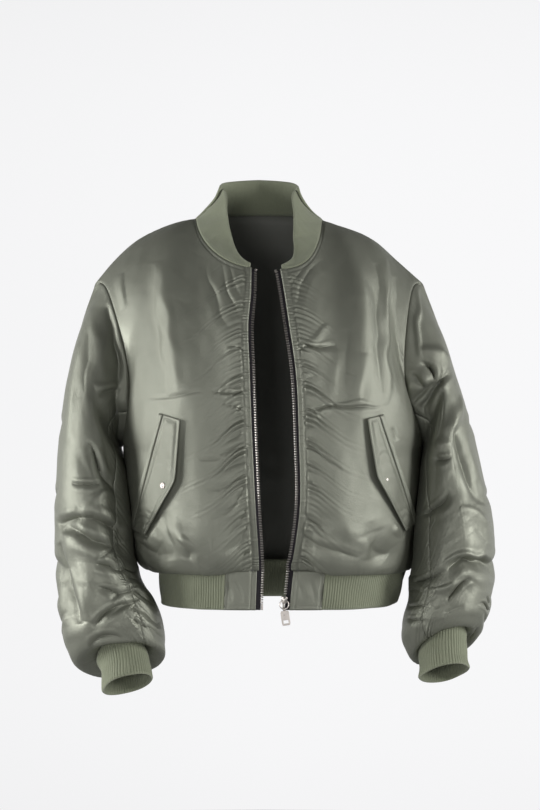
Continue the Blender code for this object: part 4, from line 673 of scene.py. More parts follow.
class Sheet:
    """A middle surface with its outward normals; a closed one joins its first and last columns."""

    def __init__(self, points, closed=False):
        self.points, self.closed = points, closed
        down = np.gradient(points, axis=0)
        if closed:
            core = points[:, :-1]
            across = np.roll(core, -1, axis=1) - np.roll(core, 1, axis=1)
            across = np.concatenate([across, across[:, :1]], axis=1)
            middle = core.mean(axis=1, keepdims=True)
        else:
            across = np.gradient(points, axis=1)
            middle = np.array([*BODY_AXIS, 0]) + points * [0, 0, 1]
        self.normals = unit(np.cross(across, down))
        self.normals *= np.sign((self.normals * (points - middle)).sum())
        self.measure()

    def measure(self):
        """Distances along the cloth from its first row and column and to its last ones."""
        self.up, self.aside = (self.run(axis) for axis in (0, 1))
        self.down, self.back = self.up[-1:] - self.up, self.aside[:, -1:] - self.aside

    def run(self, axis):
        """Distance along the cloth from its first row or column."""
        steps = np.linalg.norm(np.diff(self.points, axis=axis), axis=-1)
        return np.insert(np.cumsum(steps, axis=axis), 0, 0, axis=axis)

    def part(self, columns):
        """The piece of this sheet in some of its columns, with the same normals."""
        piece = Sheet(self.points[:, columns])
        piece.normals = self.normals[:, columns].copy()
        return piece

    def finer(self, times):
        """The same surface with more columns."""
        count = self.points.shape[1] - 1
        at = np.linspace(0, count, count * times + 1)
        low = np.minimum(at.astype(int), count - 1)
        t = (at - low)[None, :, None]
        piece = Sheet(self.points[:, low] * (1 - t) + self.points[:, low + 1] * t, self.closed)
        piece.normals = unit(self.normals[:, low] * (1 - t) + self.normals[:, low + 1] * t)
        return piece

    def edge(self, *sides):
        """Distance along the cloth to the nearest of some of its edges, or of all four."""
        return np.minimum.reduce([getattr(self, side) for side in sides or ("up", "down", "aside", "back")])

    def area(self):
        """Area of its cells, each as two triangles' cross products."""
        p = self.points
        first = np.cross(p[1:, :-1] - p[:-1, :-1], p[:-1, 1:] - p[:-1, :-1])
        second = np.cross(p[1:, :-1] - p[1:, 1:], p[:-1, 1:] - p[1:, 1:])
        return float(np.linalg.norm(first, axis=-1).sum() + np.linalg.norm(second, axis=-1).sum()) / 2


def rise(x):
    """Smooth step from 0 to 1."""
    t = np.clip(x, 0, 1)
    return t * t * (3 - 2 * t)


def bell(x):
    """Bell curve, 1 at its middle."""
    return np.exp(-x * x)


def wander(x, size, seed):
    """Uneven wave along a line, from -1 to 1: four sines of unlike lengths about a size."""
    draw = np.random.default_rng(seed)
    stretch, phase = draw.uniform(0.6, 1.7, 4), draw.uniform(0, 2 * math.pi, 4)
    return sum(np.sin(2 * math.pi * x / (size * s) + p) for s, p in zip(stretch, phase)) / 4


def drift(points, size, seed, waves=9):
    """Uneven waves through space, from about -1 to 1: plane sine waves in many directions."""
    draw = np.random.default_rng(seed)
    ways = unit(draw.normal(size=(waves, 3)))
    stretch, phase = draw.uniform(0.6, 1.8, waves), draw.uniform(0, 2 * math.pi, waves)
    scaled = points / size
    total = sum(np.sin(2 * math.pi * (scaled @ way) / s + p) for way, s, p in zip(ways, stretch, phase))
    return total / math.sqrt(waves)

# --- creases ---
LIP = 0.22                # cloth is pushed up beside a trough by this share of its depth
LIP_PLACE = 2.0           # and this many of its widths from its line
SKEW = 0.3                # one side of a crease is steeper than the other
CREASE_DRIFT = 0.0022     # how far lines stray from straight
DRIFT_SIZE = 0.045
PUCKER_START = 0.0022     # distance from the seam over which puckers rise
PUCKER_SHARPNESS = 2.6    # above 1 their troughs are narrower than the puffs between them
PUFF = 0.35               # height of those puffs, as a share of the depth


def creases(points, outward, rows, view="front"):
    """Troughs and ridges of a table, along the outward normals.

    Each lies on a line between two points seen from one side, which bows by the given distance.
    Across it a trough is a bell with a sharper bell inside and a low lip on each side, and a ridge
    is a bell. A tapered one is deepest at its first point, and any other fades at both ends.
    """
    axis, facing = VIEWS[view]
    stray = np.stack([drift(points, DRIFT_SIZE, seed) for seed in (11, 12)], axis=-1) * CREASE_DRIFT
    seen = np.stack([points[..., axis], points[..., 2]], axis=-1) + stray
    shift = np.zeros(points.shape[:-1])
    for x0, z0, x1, z1, bow, width, depth, taper in zip(*(rows[name] for name in CREASE_COLUMNS.split())):
        length = math.hypot(x1 - x0, z1 - z0)
        way = np.array([x1 - x0, z1 - z0]) / length
        offset = seen - np.array([x0, z0])
        share = offset @ way / length
        t = np.clip(share, 0, 1)
        aside = offset @ np.array([-way[1], way[0]]) - bow * 4 * t * (1 - t)
        spread = width * (1 + 0.5 * taper * (t - 0.5))
        u = aside / spread * np.where(aside > 0, 1 + SKEW, 1 - SKEW)
        beyond = bell((share - t) * length / spread)
        profile = bell(u)
        if depth > 0:
            profile = 0.55 * profile + 0.45 * bell(2.3 * u) - LIP * bell((np.abs(u) - LIP_PLACE) / 0.8)
        ends = (1 - taper) * np.sin(math.pi * t) ** 0.6 + taper * (1 - t * t)
        shift -= depth * profile * ends * beyond
    return shift * np.clip((outward @ np.array(facing)) * 2.5, 0, 1)


def puckers(distance, run, pitch, reach, depth, seed, slant=0.0):
    """Short uneven creases square to a seam, where its thread draws the cloth in.

    Along the seam they are narrow troughs between broad puffs; away from it they rise at once and
    then die out, some sooner than others.
    """
    s = run + slant * distance
    phase = 2 * math.pi * s / pitch + 2.2 * wander(s, 5 * pitch, seed)
    trough = (0.5 + 0.5 * np.cos(phase)) ** PUCKER_SHARPNESS
    strength = np.clip(0.5 + 1.0 * wander(s, 4 * pitch, seed + 1), 0.05, 1.3)
    away = (1 - np.exp(-distance / PUCKER_START)) * np.exp(-distance / (reach * (0.5 + 0.7 * strength)))
    return depth * strength * away * (PUFF - trough)


def groove(distance, place, width, depth):
    """Line of stitching that sinks into the cloth."""
    return -depth * bell((distance - place) / width)

# --- meshes ---
SEAM_SOFT = 0.0030        # how fast the cloth fills out beside a seam
EDGE_SOFT = 0.0012        # and beside a turned edge
LINING_ROOM = 0.0035      # padding behind the creases


def piece(name, points, faces, finishes, body="root", uv=None, face_finish=None, sharp=None):
    """Mesh object from points and faces, with its finishes; it rides on a body."""
    mesh = bpy.data.meshes.new(name)
    mesh.from_pydata(np.asarray(points, float).tolist(), [], faces)
    mesh.shade_smooth()
    for finish in finishes:
        mesh.materials.append(finish)
    if face_finish is not None:
        mesh.polygons.foreach_set("material_index", np.asarray(face_finish, dtype=np.int32))
    if uv is not None:
        corner = np.empty(len(mesh.loops), dtype=np.int32)
        mesh.loops.foreach_get("vertex_index", corner)
        layer = mesh.uv_layers.new(name="cloth")
        layer.data.foreach_set("uv", np.asarray(uv, dtype=np.float32)[corner].ravel())
    if sharp:
        mesh.set_sharp_from_angle(angle=math.radians(sharp))
    made = bpy.data.objects.new(name, mesh)
    bpy.context.scene.collection.objects.link(made)
    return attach(made, body)


def quads(index, closed_rows=False, closed_columns=False):
    """Quads of a grid of point numbers, which may close on itself either way."""
    if closed_rows:
        index = np.concatenate([index, index[:1]])
    if closed_columns:
        index = np.concatenate([index, index[:, :1]], axis=1)
    corners = (index[:-1, :-1], index[:-1, 1:], index[1:, 1:], index[1:, :-1])
    return np.stack([corner.ravel() for corner in corners], axis=1)


def capped(index):
    """Faces of a tube of rings of point numbers, with a cap at each end."""
    return quads(index, closed_columns=True).tolist() + [index[0].tolist()[::-1], index[-1].tolist()]


def wall(name, outer, inner, normals, finishes, uv, closed=False, body="root"):
    """Closed wall between an outer grid and a coarser inner one, the rims joined cell by cell."""
    step = (outer.shape[0] - 1) // (inner.shape[0] - 1)
    across = (outer.shape[1] - 1) // (inner.shape[1] - 1)
    inner_uv = uv[::step, ::across]
    if closed:
        outer, inner, uv, inner_uv = (grid[:, :-1] for grid in (outer, inner, uv, inner_uv))
    out = np.arange(outer.shape[0] * outer.shape[1]).reshape(outer.shape[:2])
    inn = np.arange(inner.shape[0] * inner.shape[1]).reshape(inner.shape[:2]) + out.size
    outer_faces = quads(out, closed_columns=closed)
    inner_faces = quads(inn, closed_columns=closed)[:, ::-1]
    if closed:
        out, inn = (np.concatenate([index, index[:, :1]], axis=1) for index in (out, inn))
    chains = [(out[0], inn[0], across), (out[-1, ::-1], inn[-1, ::-1], across)]
    if not closed:
        chains += [(out[:, -1], inn[:, -1], step), (out[::-1, 0], inn[::-1, 0], step)]
    rims = []
    for fine, coarse, times in chains:
        for cell in range(len(coarse) - 1):
            run = fine[cell * times:(cell + 1) * times + 1][::-1].tolist()
            rims.append(run + [int(coarse[cell]), int(coarse[cell + 1])])
    faces = outer_faces.tolist() + rims + inner_faces.tolist()
    turned = np.cross(outer[:-1, 1:] - outer[:-1, :-1], outer[1:, :-1] - outer[:-1, :-1])
    if (turned * normals[:turned.shape[0], :turned.shape[1]]).sum() < 0:
        faces = [face[::-1] for face in faces]
    last = len(finishes) - 1
    kind = [0] * (len(outer_faces) + len(rims)) + [last] * len(inner_faces)
    points = np.concatenate([outer.reshape(-1, 3), inner.reshape(-1, 3)])
    flat_uv = np.concatenate([uv.reshape(-1, 2), inner_uv.reshape(-1, 2)])
    return piece(name, points, faces, finishes, body, flat_uv, kind)


def cloth_map(sheet):
    """Places on the cloth in metres, across and up, for its weave."""
    return np.stack([sheet.aside, sheet.up], axis=-1)


def declare(made, node, sheet, rests_on=()):
    """Hides the node that a cloth piece stands for; the width, length and area of its cut are worked out but
    not used.
    """
    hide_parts(node)
    width, length = float(sheet.aside[:, -1].max()), float(sheet.up[-1].max())
    area = min(sheet.area(), width * length)
    return made


def satin_wall(name, sheet, relief, free_edges, lining=True):
    """Puffed satin wall: its outer face has the relief, its inner one stays smooth.

    Both draw together at free edges, where the cloth is turned in, and at seams.
    """
    edge = sheet.edge()
    seam = 1 - 0.85 * np.exp(-edge / SEAM_SOFT)
    for side in free_edges:
        seam = np.where(getattr(sheet, side) <= edge, 1 - 0.55 * np.exp(-edge / EDGE_SOFT), seam)
    outer = sheet.points + sheet.normals * (SATIN / 2 * seam + relief)[..., None]
    depth = SATIN / 2 * seam + LINING_ROOM * rise(edge / 0.02)
    inner = (sheet.points - sheet.normals * depth[..., None])[::LINING_STEP, ::LINING_STEP]
    finishes = [FINISH["satin"], FINISH["lining"]] if lining else [FINISH["satin"]]
    made = wall(name, outer, inner, sheet.normals, finishes, cloth_map(sheet))
    return made, outer

# --- finishes ---


def linear(*colour):
    """Display colour from 0 to 255 as the light it stands for."""
    shares = [value / 255 for value in colour]
    return tuple(s / 12.92 if s <= 0.04045 else ((s + 0.055) / 1.055) ** 2.4 for s in shares)


class Value:
    """Output of a shader node; arithmetic on it adds Math nodes."""

    def __init__(self, finish, socket):
        self.finish, self.socket = finish, socket

    def math(self, operation, *others):
        made = self.finish.node("Math", {"operation": operation})
        for place, value in enumerate((self, *others)):
            self.finish.feed(made.inputs[place], value)
        return Value(self.finish, made.outputs[0])

    def __add__(self, other):
        return self.math("ADD", other)

    def __sub__(self, other):
        return self.math("SUBTRACT", other)

    def __rsub__(self, other):
        return (self * -1.0) + other

    def __mul__(self, other):
        return self.math("MULTIPLY", other)

    def __pow__(self, other):
        return self.math("POWER", other)

    __radd__, __rmul__ = __add__, __mul__

    def wave(self, size):
        """Sine wave of this size along the value, from 0 to 1."""
        return (self * (2 * math.pi / size)).math("SINE") * 0.5 + 0.5


class Finish:
    """Material with one surface shader."""

    def __init__(self, name, colour, roughness, metallic=0.0):
        self.material = bpy.data.materials.new(name)
        self.material.use_nodes = True
        self.tree = self.material.node_tree
        self.tree.nodes.clear()
        self.colour = linear(*colour)
        self.surface = self.node("BsdfPrincipled", {}, Base_Color=(*self.colour, 1.0), Roughness=roughness,
                                 Metallic=metallic)
        output = self.node("OutputMaterial", {})
        self.tree.links.new(self.surface.outputs[0], output.inputs["Surface"])

    def node(self, kind, settings, **sockets):
        """Adds a node: its settings first, then its sockets."""
        made = self.tree.nodes.new("ShaderNode" + kind)
        for key, value in settings.items():
            setattr(made, key, value)
        for key, value in sockets.items():
            self.feed(made.inputs[key.replace("_", " ")], value)
        return made

    def feed(self, socket, value):
        """Gives a socket a number, a colour or another node's output."""
        if isinstance(value, Value):
            self.tree.links.new(value.socket, socket)
        else:
            socket.default_value = value

    def set(self, **sockets):
        for key, value in sockets.items():
            self.feed(self.surface.inputs[key.replace("_", " ")], value)

    def cloth_place(self):
        """Places on the cloth in metres, across and up."""
        place = self.node("UVMap", {"uv_map": "cloth"})
        split = self.node("SeparateXYZ", {}, Vector=Value(self, place.outputs[0]))
        return Value(self, split.outputs["X"]), Value(self, split.outputs["Y"])

    def noise(self, size, detail=2.0, rough=0.5):
        """Uneven value through space, about 0.5, with features of this size in metres."""
        place = self.node("TexCoord", {})
        made = self.node("TexNoise", {}, Vector=Value(self, place.outputs["Object"]), Scale=1.0 / size,
                         Detail=detail, Roughness=rough)
        return Value(self, made.outputs["Fac"] if "Fac" in made.outputs else made.outputs[0])

    def shades(self, share, dark, light):
        """Colour between two shares of the base colour."""
        made = self.node("Mix", {"data_type": "RGBA"})
        self.feed(made.inputs[0], share)
        for socket, times in ((made.inputs[6], dark), (made.inputs[7], light)):
            socket.default_value = (*(channel * times for channel in self.colour), 1.0)
        return Value(self, made.outputs[2])

    def bump(self, height, depth):
        """Relief of a height from 0 to 1, this many metres deep."""
        made = self.node("Bump", {}, Strength=1.0, Distance=depth, Height=height)
        self.set(Normal=Value(self, made.outputs[0]))


def satin_finish(name, colour, roughness, metallic):
    """Woven satin: a soft sheen, fine diagonal lines and slight unevenness."""
    finish = Finish(name, colour, roughness, metallic)
    across, up = finish.cloth_place()
    uneven = finish.noise(0.030)
    fine = finish.noise(0.0035, 3.0, 0.6)
    finish.set(Base_Color=finish.shades(uneven, 0.94, 1.06),
               Roughness=uneven * 0.10 + (roughness - 0.05))
    finish.bump((across + up * 0.6).wave(0.00055) * 0.25 + fine, 0.00022)
    return finish.material


def knit_finish(name, colour):
    """Rib knit: rows of small stitches along each rib and soft fuzz."""
    finish = Finish(name, colour, 0.85)
    across, up = finish.cloth_place()
    stitch = up.wave(0.0016) * across.wave(0.0012)
    finish.set(Base_Color=finish.shades(stitch * 0.5 + finish.noise(0.004) * 0.5, 0.84, 1.10),
               Sheen_Weight=0.25, Sheen_Roughness=0.5)
    finish.bump(stitch + finish.noise(0.0010) * 0.5, 0.0003)
    return finish.material


def tape_finish(name, colour):
    """Woven tape with a herringbone of small ribs."""
    finish = Finish(name, colour, 0.75)
    across, up = finish.cloth_place()
    slant = across.math("PINGPONG", 0.0016) + up
    finish.bump(slant.wave(0.0008), 0.0002)
    return finish.material


def metal_finish(name, colour, roughness):
    """Plated metal with soft wear."""
    finish = Finish(name, colour, roughness, 1.0)
    wear = finish.noise(0.006, 4.0)
    finish.set(Roughness=wear * 0.25 + (roughness - 0.12), Base_Color=finish.shades(wear, 0.8, 1.1))
    return finish.material


FINISH = {
    "satin": satin_finish("satin", (128, 130, 118), 0.47, 0.55),
    "lining": satin_finish("lining_cloth", (104, 105, 99), 0.55, 0.05),
    "knit": knit_finish("rib_knit", (134, 139, 116)),
    "tape": tape_finish("zip_tape", (34, 30, 36)),
    "metal": metal_finish("zip_metal", (206, 199, 193), 0.30),
    "thread": Finish("thread", (112, 113, 104), 0.6).material}

# --- cloth that settles ---
SETTLE_STEP = 2           # the simulated grid has every second row and column
SETTLE_FRAMES = 14
SETTLE_LIMIT = 0.011      # the cloth moves less than this off its form
SHARES = 50               # steps in which weights are given
CLOTH = dict(quality=5, mass=0.05, air_damping=2.0, tension_stiffness=30.0, compression_stiffness=30.0,
             shear_stiffness=8.0, bending_stiffness=14.0, tension_damping=5.0, compression_damping=5.0,
             shear_damping=5.0, bending_damping=0.5, pin_stiffness=1.0)


def point_shares(made, name, shares):
    """Vertex group that gives each point of a grid its share."""
    group = made.vertex_groups.new(name=name)
    steps = np.round(np.clip(shares, 0, 1).ravel() * SHARES) / SHARES
    for value in np.unique(steps):
        group.add(np.flatnonzero(steps == value).tolist(), float(value), "REPLACE")
    return name


def settled(sheet, relief, growth, hold):
    """The sheet with its relief after the cloth, which is larger than its form, has settled.

    growth is the largest share by which it grows and how much of that each place takes. hold is how
    strongly each place stays near the form, 1 where it is sewn.
    """
    form = sheet.points + sheet.normals * relief[..., None]
    pick = (slice(None, None, SETTLE_STEP),) * 2
    start, most, shares, hold = form[pick], growth[0], growth[1][pick], hold[pick]
    if sheet.closed:
        start, shares, hold = start[:, :-1], shares[:, :-1], hold[:, :-1]
    index = np.arange(start[..., 0].size).reshape(start.shape[:2])
    mesh = bpy.data.meshes.new("settling")
    mesh.from_pydata(start.reshape(-1, 3).tolist(), [], quads(index, closed_columns=sheet.closed).tolist())
    made = bpy.data.objects.new("settling", mesh)
    bpy.context.scene.collection.objects.link(made)
    cloth = made.modifiers.new("cloth", "CLOTH")
    for key, value in CLOTH.items():
        setattr(cloth.settings, key, value)
    cloth.settings.vertex_group_mass = point_shares(made, "hold", hold)
    cloth.settings.vertex_group_shrink = point_shares(made, "growth", shares)
    cloth.settings.shrink_min, cloth.settings.shrink_max = 0.0, -most
    cloth.settings.effector_weights.gravity = 0.0
    cloth.collision_settings.use_collision = False
    cloth.point_cache.frame_end = SETTLE_FRAMES
    for number in range(1, SETTLE_FRAMES + 1):
        bpy.context.scene.frame_set(number)
    after = made.evaluated_get(bpy.context.evaluated_depsgraph_get()).to_mesh()
    points = np.empty(start.size, dtype=np.float32)
    after.vertices.foreach_get("co", points)
    moved = points.reshape(start.shape).astype(float) - start
    bpy.data.objects.remove(made)
    bpy.context.scene.frame_set(1)
    far = np.linalg.norm(moved, axis=-1, keepdims=True)
    moved *= np.tanh(far / SETTLE_LIMIT) * SETTLE_LIMIT / np.maximum(far, 1e-9)
    if sheet.closed:
        moved = np.concatenate([moved, moved[:, :1]], axis=1)
    rows, columns = sheet.points.shape[:2]
    row, column = np.meshgrid(np.arange(rows) / SETTLE_STEP, np.arange(columns) / SETTLE_STEP, indexing="ij")
    return Sheet(form + softened(at_cell(moved, row, column), sheet.closed), sheet.closed)


def softened(grid, closed):
    """Grid of vectors with each point drawn to its neighbours' mean, its borders kept."""
    grid = grid.copy()
    for _ in range(2):
        grid[1:-1] = (grid[:-2] + 2 * grid[1:-1] + grid[2:]) / 4
        wide = np.concatenate([grid[:, -2:-1], grid, grid[:, 1:2]], axis=1) if closed else grid
        inner = (wide[:, :-2] + 2 * wide[:, 1:-1] + wide[:, 2:]) / 4
        if closed:
            grid = inner
        else:
            grid[:, 1:-1] = inner
    return grid

# --- the shell ---
SLEEVE_APART = 0.060      # moves one sleeve, mirrored, onto the other
ZIP_STRIP = 0.0080        # sewn strip of cloth beside the zip
OVERLAP = 0.0028          # how far it reaches over the tape
UNDER_FLAP = 0.9          # cloth under a flap keeps this much less of its relief
FLAP_MARGIN = 0.0100      # which starts this far outside its outline and is whole after the fade
FLAP_FADE = 0.008
SEAM_FADE = 0.020         # folds reach their whole depth this far from a seam
SEWN = 0.0005             # cloth this near a seam is held, and is free after the release
RELEASE = 0.004
HOLD = 0.12               # how strongly the rest stays near its form
HOLD_UNDER_FLAP = 0.6
BODY_GROWTH = 0.06        # largest share by which the body's and the sleeves' cloth grows as it settles
SLEEVE_GROWTH = 0.010
FULL_REACH = dict(zip=0.045, hem=0.060, side=0.035)   # how far from each seam the cloth is fuller
ZIP_PUCKERS = (0.0084, 0.021, 0.0072)     # pitch, reach and depth of the puckers at each seam
STRIP_PUCKERS = (0.0048, 0.012, 0.0032)
HEM_PUCKERS = (0.011, 0.010, 0.0020)
SIDE_PUCKERS = (0.013, 0.007, 0.0012)
TOP_PUCKERS = (0.012, 0.008, 0.0009)
BACK_HEM_PUCKERS = (0.012, 0.012, 0.0022)
BACK_TOP_PUCKERS = (0.012, 0.007, 0.0008)
ARMHOLE_PUCKERS = (0.012, 0.008, 0.0012)
CUFF_PUCKERS = (0.009, 0.012, 0.0020)
SLEEVE_PUCKERS = (0.0095, 0.013, 0.0062)
NECK_STRIP = 0.0070       # and below the collar
EASE_STEP = 4             # points this many columns to each side are averaged
EASE_PASSES = 26
EASE_REACH = 34           # columns
EASE_FROM = 0.45          # the share of a panel's rows at which it starts, fading in,
EASE_FADE = 0.15
EASE_TOP = 0.04           # and how near the top edge it ends
TOUCH = 0.0026            # how far a sleeve swells towards the body's side
ARMPIT_TOUCH = 0.0035     # and how much further just below the armpit
ARMPIT_HEIGHT = -0.388
BROAD = table("size depth", (0.080, 0.0008), (0.034, 0.00025), (0.014, 0.00008))   # soft unevenness


def broad(points, seed, drape=(1.0, 1.0, 0.4)):
    """Soft unevenness of lined cloth: waves of a few sizes, drawn out along the drape."""
    scaled = points * drape
    return sum(drift(scaled, size, seed + n) * depth
               for n, (size, depth) in enumerate(zip(BROAD["size"], BROAD["depth"])))


def folded(sheet, held_edges):
    """The sheet with its largest folds, which fade at its seams."""
    free = np.ones(sheet.points.shape[:2])
    for side, start, reach in held_edges:
        free = free * rise((getattr(sheet, side) - start) / reach)
    moved = fold(sheet.points, sheet.normals)
    if not sheet.closed:
        moved = gather(moved, sheet.normals)
    moved = sheet.points + (moved - sheet.points) * free[..., None]
    if sheet.closed:
        moved[:, -1] = moved[:, 0]
    return Sheet(moved, sheet.closed)


def eased(points, column):
    """A panel's points with the ridge that runs down from one column of its top edge smoothed out."""
    points = points.copy()
    rows, columns = points.shape[:2]
    row = np.arange(rows)[:, None] / rows
    weight = (bell((np.arange(columns) - column) / EASE_REACH) * rise((row - EASE_FROM) / EASE_FADE)
              * rise((1 - row) / EASE_TOP))[..., None]
    for _ in range(EASE_PASSES):
        wide = np.pad(points, ((0, 0), (EASE_STEP, EASE_STEP), (0, 0)), mode="edge")
        mean = (wide[:, :-2 * EASE_STEP] + 2 * points + wide[:, 2 * EASE_STEP:]) / 4
        points += (mean - points) * weight
    return points


def doubled(points, first):
    """The grid with twice as many rows from the first one up: each new one is cubic between four."""
    upper = np.concatenate([points[first - 1:], 2 * points[-1:] - points[-2:-1]])
    middle = (9 * (upper[1:-2] + upper[2:-1]) - upper[:-3] - upper[3:]) / 16
    both = np.stack([upper[1:-2], middle], axis=1).reshape(-1, *points.shape[1:])
    return np.concatenate([points[:first], both, points[-1:]])


def below_flap(points, side):
    """1 where a front lies under its flap or welt, fading to 0 round their outline."""
    corners = np.array([FLAP[side][name] for name in ("top", "bottom", "free_bottom", "point", "free_top")])
    seen, centre = points[..., [0, 2]], corners.mean(axis=0)
    inside = np.full(points.shape[:2], np.inf)
    for corner, following in zip(corners, np.roll(corners, -1, axis=0)):
        way = unit(following - corner)
        normal = np.array([way[1], -way[0]])
        normal *= np.sign((centre - corner) @ normal)
        inside = np.minimum(inside, (seen - corner) @ normal)
    return rise((inside + FLAP_MARGIN) / FLAP_FADE)


def sewn(distance):
    """How strongly a seam at this distance holds the cloth: 1 at the seam and 0 beyond its release."""
    return 1 - rise((distance - SEWN) / RELEASE)


def front(side):
    """One front: folds, creases and gathers, with sewn strips beside the zip and at the neck."""
    name = side_name(side)
    points = doubled(eased(front_panel(side), NECK_COLUMNS), sum(BODY_ROWS))
    form = folded(Sheet(points), (("aside", 0.012, 0.022), ("up", 0, SEAM_FADE),
                                  ("down", 0, SEAM_FADE), ("back", 0, SEAM_FADE)))
    inside = rise((form.aside - ZIP_STRIP) / 0.003)
    free = rise(form.back / 0.02) * rise(form.up / 0.008) * rise(form.down / 0.012) * inside
    flap = below_flap(form.points, side)
    relief = creases(form.points, form.normals, CREASES["front_" + name]) + broad(form.points, 20 + side)
    relief *= free * (1 - UNDER_FLAP * flap)
    edge = form.edge("up", "down", "back")
    hold = np.maximum(HOLD + HOLD_UNDER_FLAP * flap, sewn(np.minimum(edge, form.aside - ZIP_STRIP)))
    growth = (0.2 + 0.8 * bell((form.aside - ZIP_STRIP) / FULL_REACH["zip"])
              + 0.8 * bell(form.up / FULL_REACH["hem"]) + 0.5 * bell(form.back / FULL_REACH["side"]))
    sheet = settled(form, relief, (BODY_GROWTH, growth * (1 - flap)), hold)
    sheet.up, sheet.down, sheet.aside, sheet.back = form.up, form.down, form.aside, form.back
    neck = np.zeros(sheet.points.shape[:2])
    neck[:, :NECK_COLUMNS + 1] = 1
    relief = puckers(np.maximum(sheet.aside - ZIP_STRIP, 0), sheet.up, *ZIP_PUCKERS,
                     31 + side, slant=0.35) * inside * rise(sheet.down / 0.02)
    strip = puckers(np.maximum(ZIP_STRIP - sheet.aside, 0), sheet.up, *STRIP_PUCKERS, 41 + side)
    relief += strip * (1 - inside)
    relief += puckers(sheet.up, sheet.aside, *HEM_PUCKERS, 51 + side) * inside
    relief += puckers(sheet.back, sheet.up, *SIDE_PUCKERS, 61 + side)
    relief += puckers(sheet.down, sheet.aside, *TOP_PUCKERS, 71 + side)
    relief += groove(sheet.aside, ZIP_STRIP, 0.0015, 0.0020)
    toward_zip = unit(sheet.points[:, :1] - sheet.points[:, 1:2])
    sheet.points = sheet.points + toward_zip * (OVERLAP * (1 - rise(sheet.aside / 0.014)))[..., None]
    relief += groove(sheet.down, NECK_STRIP, 0.0016, 0.0012) * neck * inside
    relief *= 1 - UNDER_FLAP * flap
    made, outer = satin_wall("shell_front_" + name, sheet, relief, ("aside",))
    declare(made, "front_" + name, sheet)
    return form, sheet, outer


def back():
    """The back: drape, gathers over the hem band and creases like those of the fronts."""
    points = eased(eased(back_panel(), SHOULDER_COLUMNS), SHOULDER_COLUMNS + 2 * BACK_NECK_COLUMNS)
    form = folded(Sheet(points), [(side, 0, SEAM_FADE) for side in ("up", "down", "aside", "back")])
    edge = form.edge()
    relief = creases(form.points, form.normals, CREASES["back"], "back") + broad(form.points, 24)
    hold = np.maximum(HOLD, sewn(edge))
    growth = (0.25 + 0.8 * bell(form.up / FULL_REACH["hem"])
              + 0.5 * bell(form.edge("aside", "back") / FULL_REACH["side"]))
    sheet = settled(form, relief * rise(edge / 0.015), (BODY_GROWTH, growth), hold)
    sheet.up, sheet.down, sheet.aside, sheet.back = form.up, form.down, form.aside, form.back
    relief = puckers(sheet.up, sheet.aside, *BACK_HEM_PUCKERS, 54)
    relief += puckers(sheet.edge("aside", "back"), sheet.up, *SIDE_PUCKERS, 64)
    relief += puckers(sheet.down, sheet.aside, *BACK_TOP_PUCKERS, 74)
    made = satin_wall("shell_back", sheet, relief, ())[0]
    declare(made, "back", sheet)
    return form


def sleeve(side):
    """Both parts of a sleeve: folds and creases all round, gathered into the cuff."""
    name, other = side_name(side), side_name(-side)
    form = folded(Sheet(sleeve_tube(side), closed=True), (("up", 0.004, 0.03), ("down", 0, 0.02)))
    relief = creases(form.points, form.normals, CREASES["sleeve_" + name])
    behind = form.points * [-1, 1, 1] + [SLEEVE_APART, 0, 0]
    relief += creases(behind, form.normals * [-1, 1, 1], CREASES["sleeve_" + other], "back")
    relief += creases(form.points, form.normals, CREASES["outer_sleeve"], name)
    relief += 0.6 * broad(form.points, 27 + side, (1.0, 1.0, 0.7))
    inner_arm = rise((form.normals[..., 0] * -side - 0.7) / 0.25)
    beside = inner_arm * rise((form.points[..., 2] + 0.545) / 0.03)
    swell = TOUCH + ARMPIT_TOUCH * bell((form.points[..., 2] - ARMPIT_HEIGHT) / 0.030)
    relief = relief * (1 - beside) + swell * beside
    relief *= rise(form.up / 0.012) * rise(form.down / 0.008)
    relief[:, -1] = relief[:, 0]
    hold = np.maximum(HOLD + 0.88 * inner_arm, sewn(form.edge("up", "down")))
    share = form.up / form.up[-1:]
    tube = settled(form, relief, (SLEEVE_GROWTH, 0.2 + 0.8 * rise((share - 0.25) / 0.4)), hold)
    tube.up, tube.down = form.up, form.down
    relief = puckers(tube.up, tube.aside, *ARMHOLE_PUCKERS, 57 + side)
    relief += puckers(tube.down, tube.aside, *CUFF_PUCKERS, 67 + side)
    relief[:, -1] = relief[:, 0]
    under = np.arange(ARMHOLE_ROWS - UNDER_COLUMNS, ARMHOLE_ROWS + UNDER_COLUMNS + 1)
    top = np.arange(under[-1], under[0] + 2 * ARMHOLE_ROWS + 1) % (2 * ARMHOLE_ROWS)
    for part, columns, seed in (("under_", under, 77), ("top_", top, 87)):
        sheet = tube.part(columns)
        low = rise((sheet.up / sheet.up[-1:] - 0.35) / 0.4)
        seams = puckers(sheet.edge("aside", "back"), sheet.up, *SLEEVE_PUCKERS, seed + side)
        whole = relief[:, columns] + seams * (0.3 + 0.7 * low)
        made = satin_wall("shell_sleeve_" + part + name, sheet, whole, ())[0]
        declare(made, "sleeve_" + part + name, sheet)
    return form

# --- rib knit ---
HEM_ROWS = 24
COLLAR_ROWS = 24
CUFF_ROWS = 28
HEM_RIBS = dict(pitch=0.0040, height=0.0011, finer=4)
COLLAR_RIBS = dict(pitch=0.0030, height=0.00065, finer=3)
CUFF_RIBS = dict(pitch=0.0042, height=0.0013, finer=3)
KNIT_FOLD = 0.0035        # round fold at a free edge


def rib(share):
    """Rounded rib with a narrow valley on each side; one for each whole share."""
    return np.abs(np.sin(math.pi * share)) ** 0.7


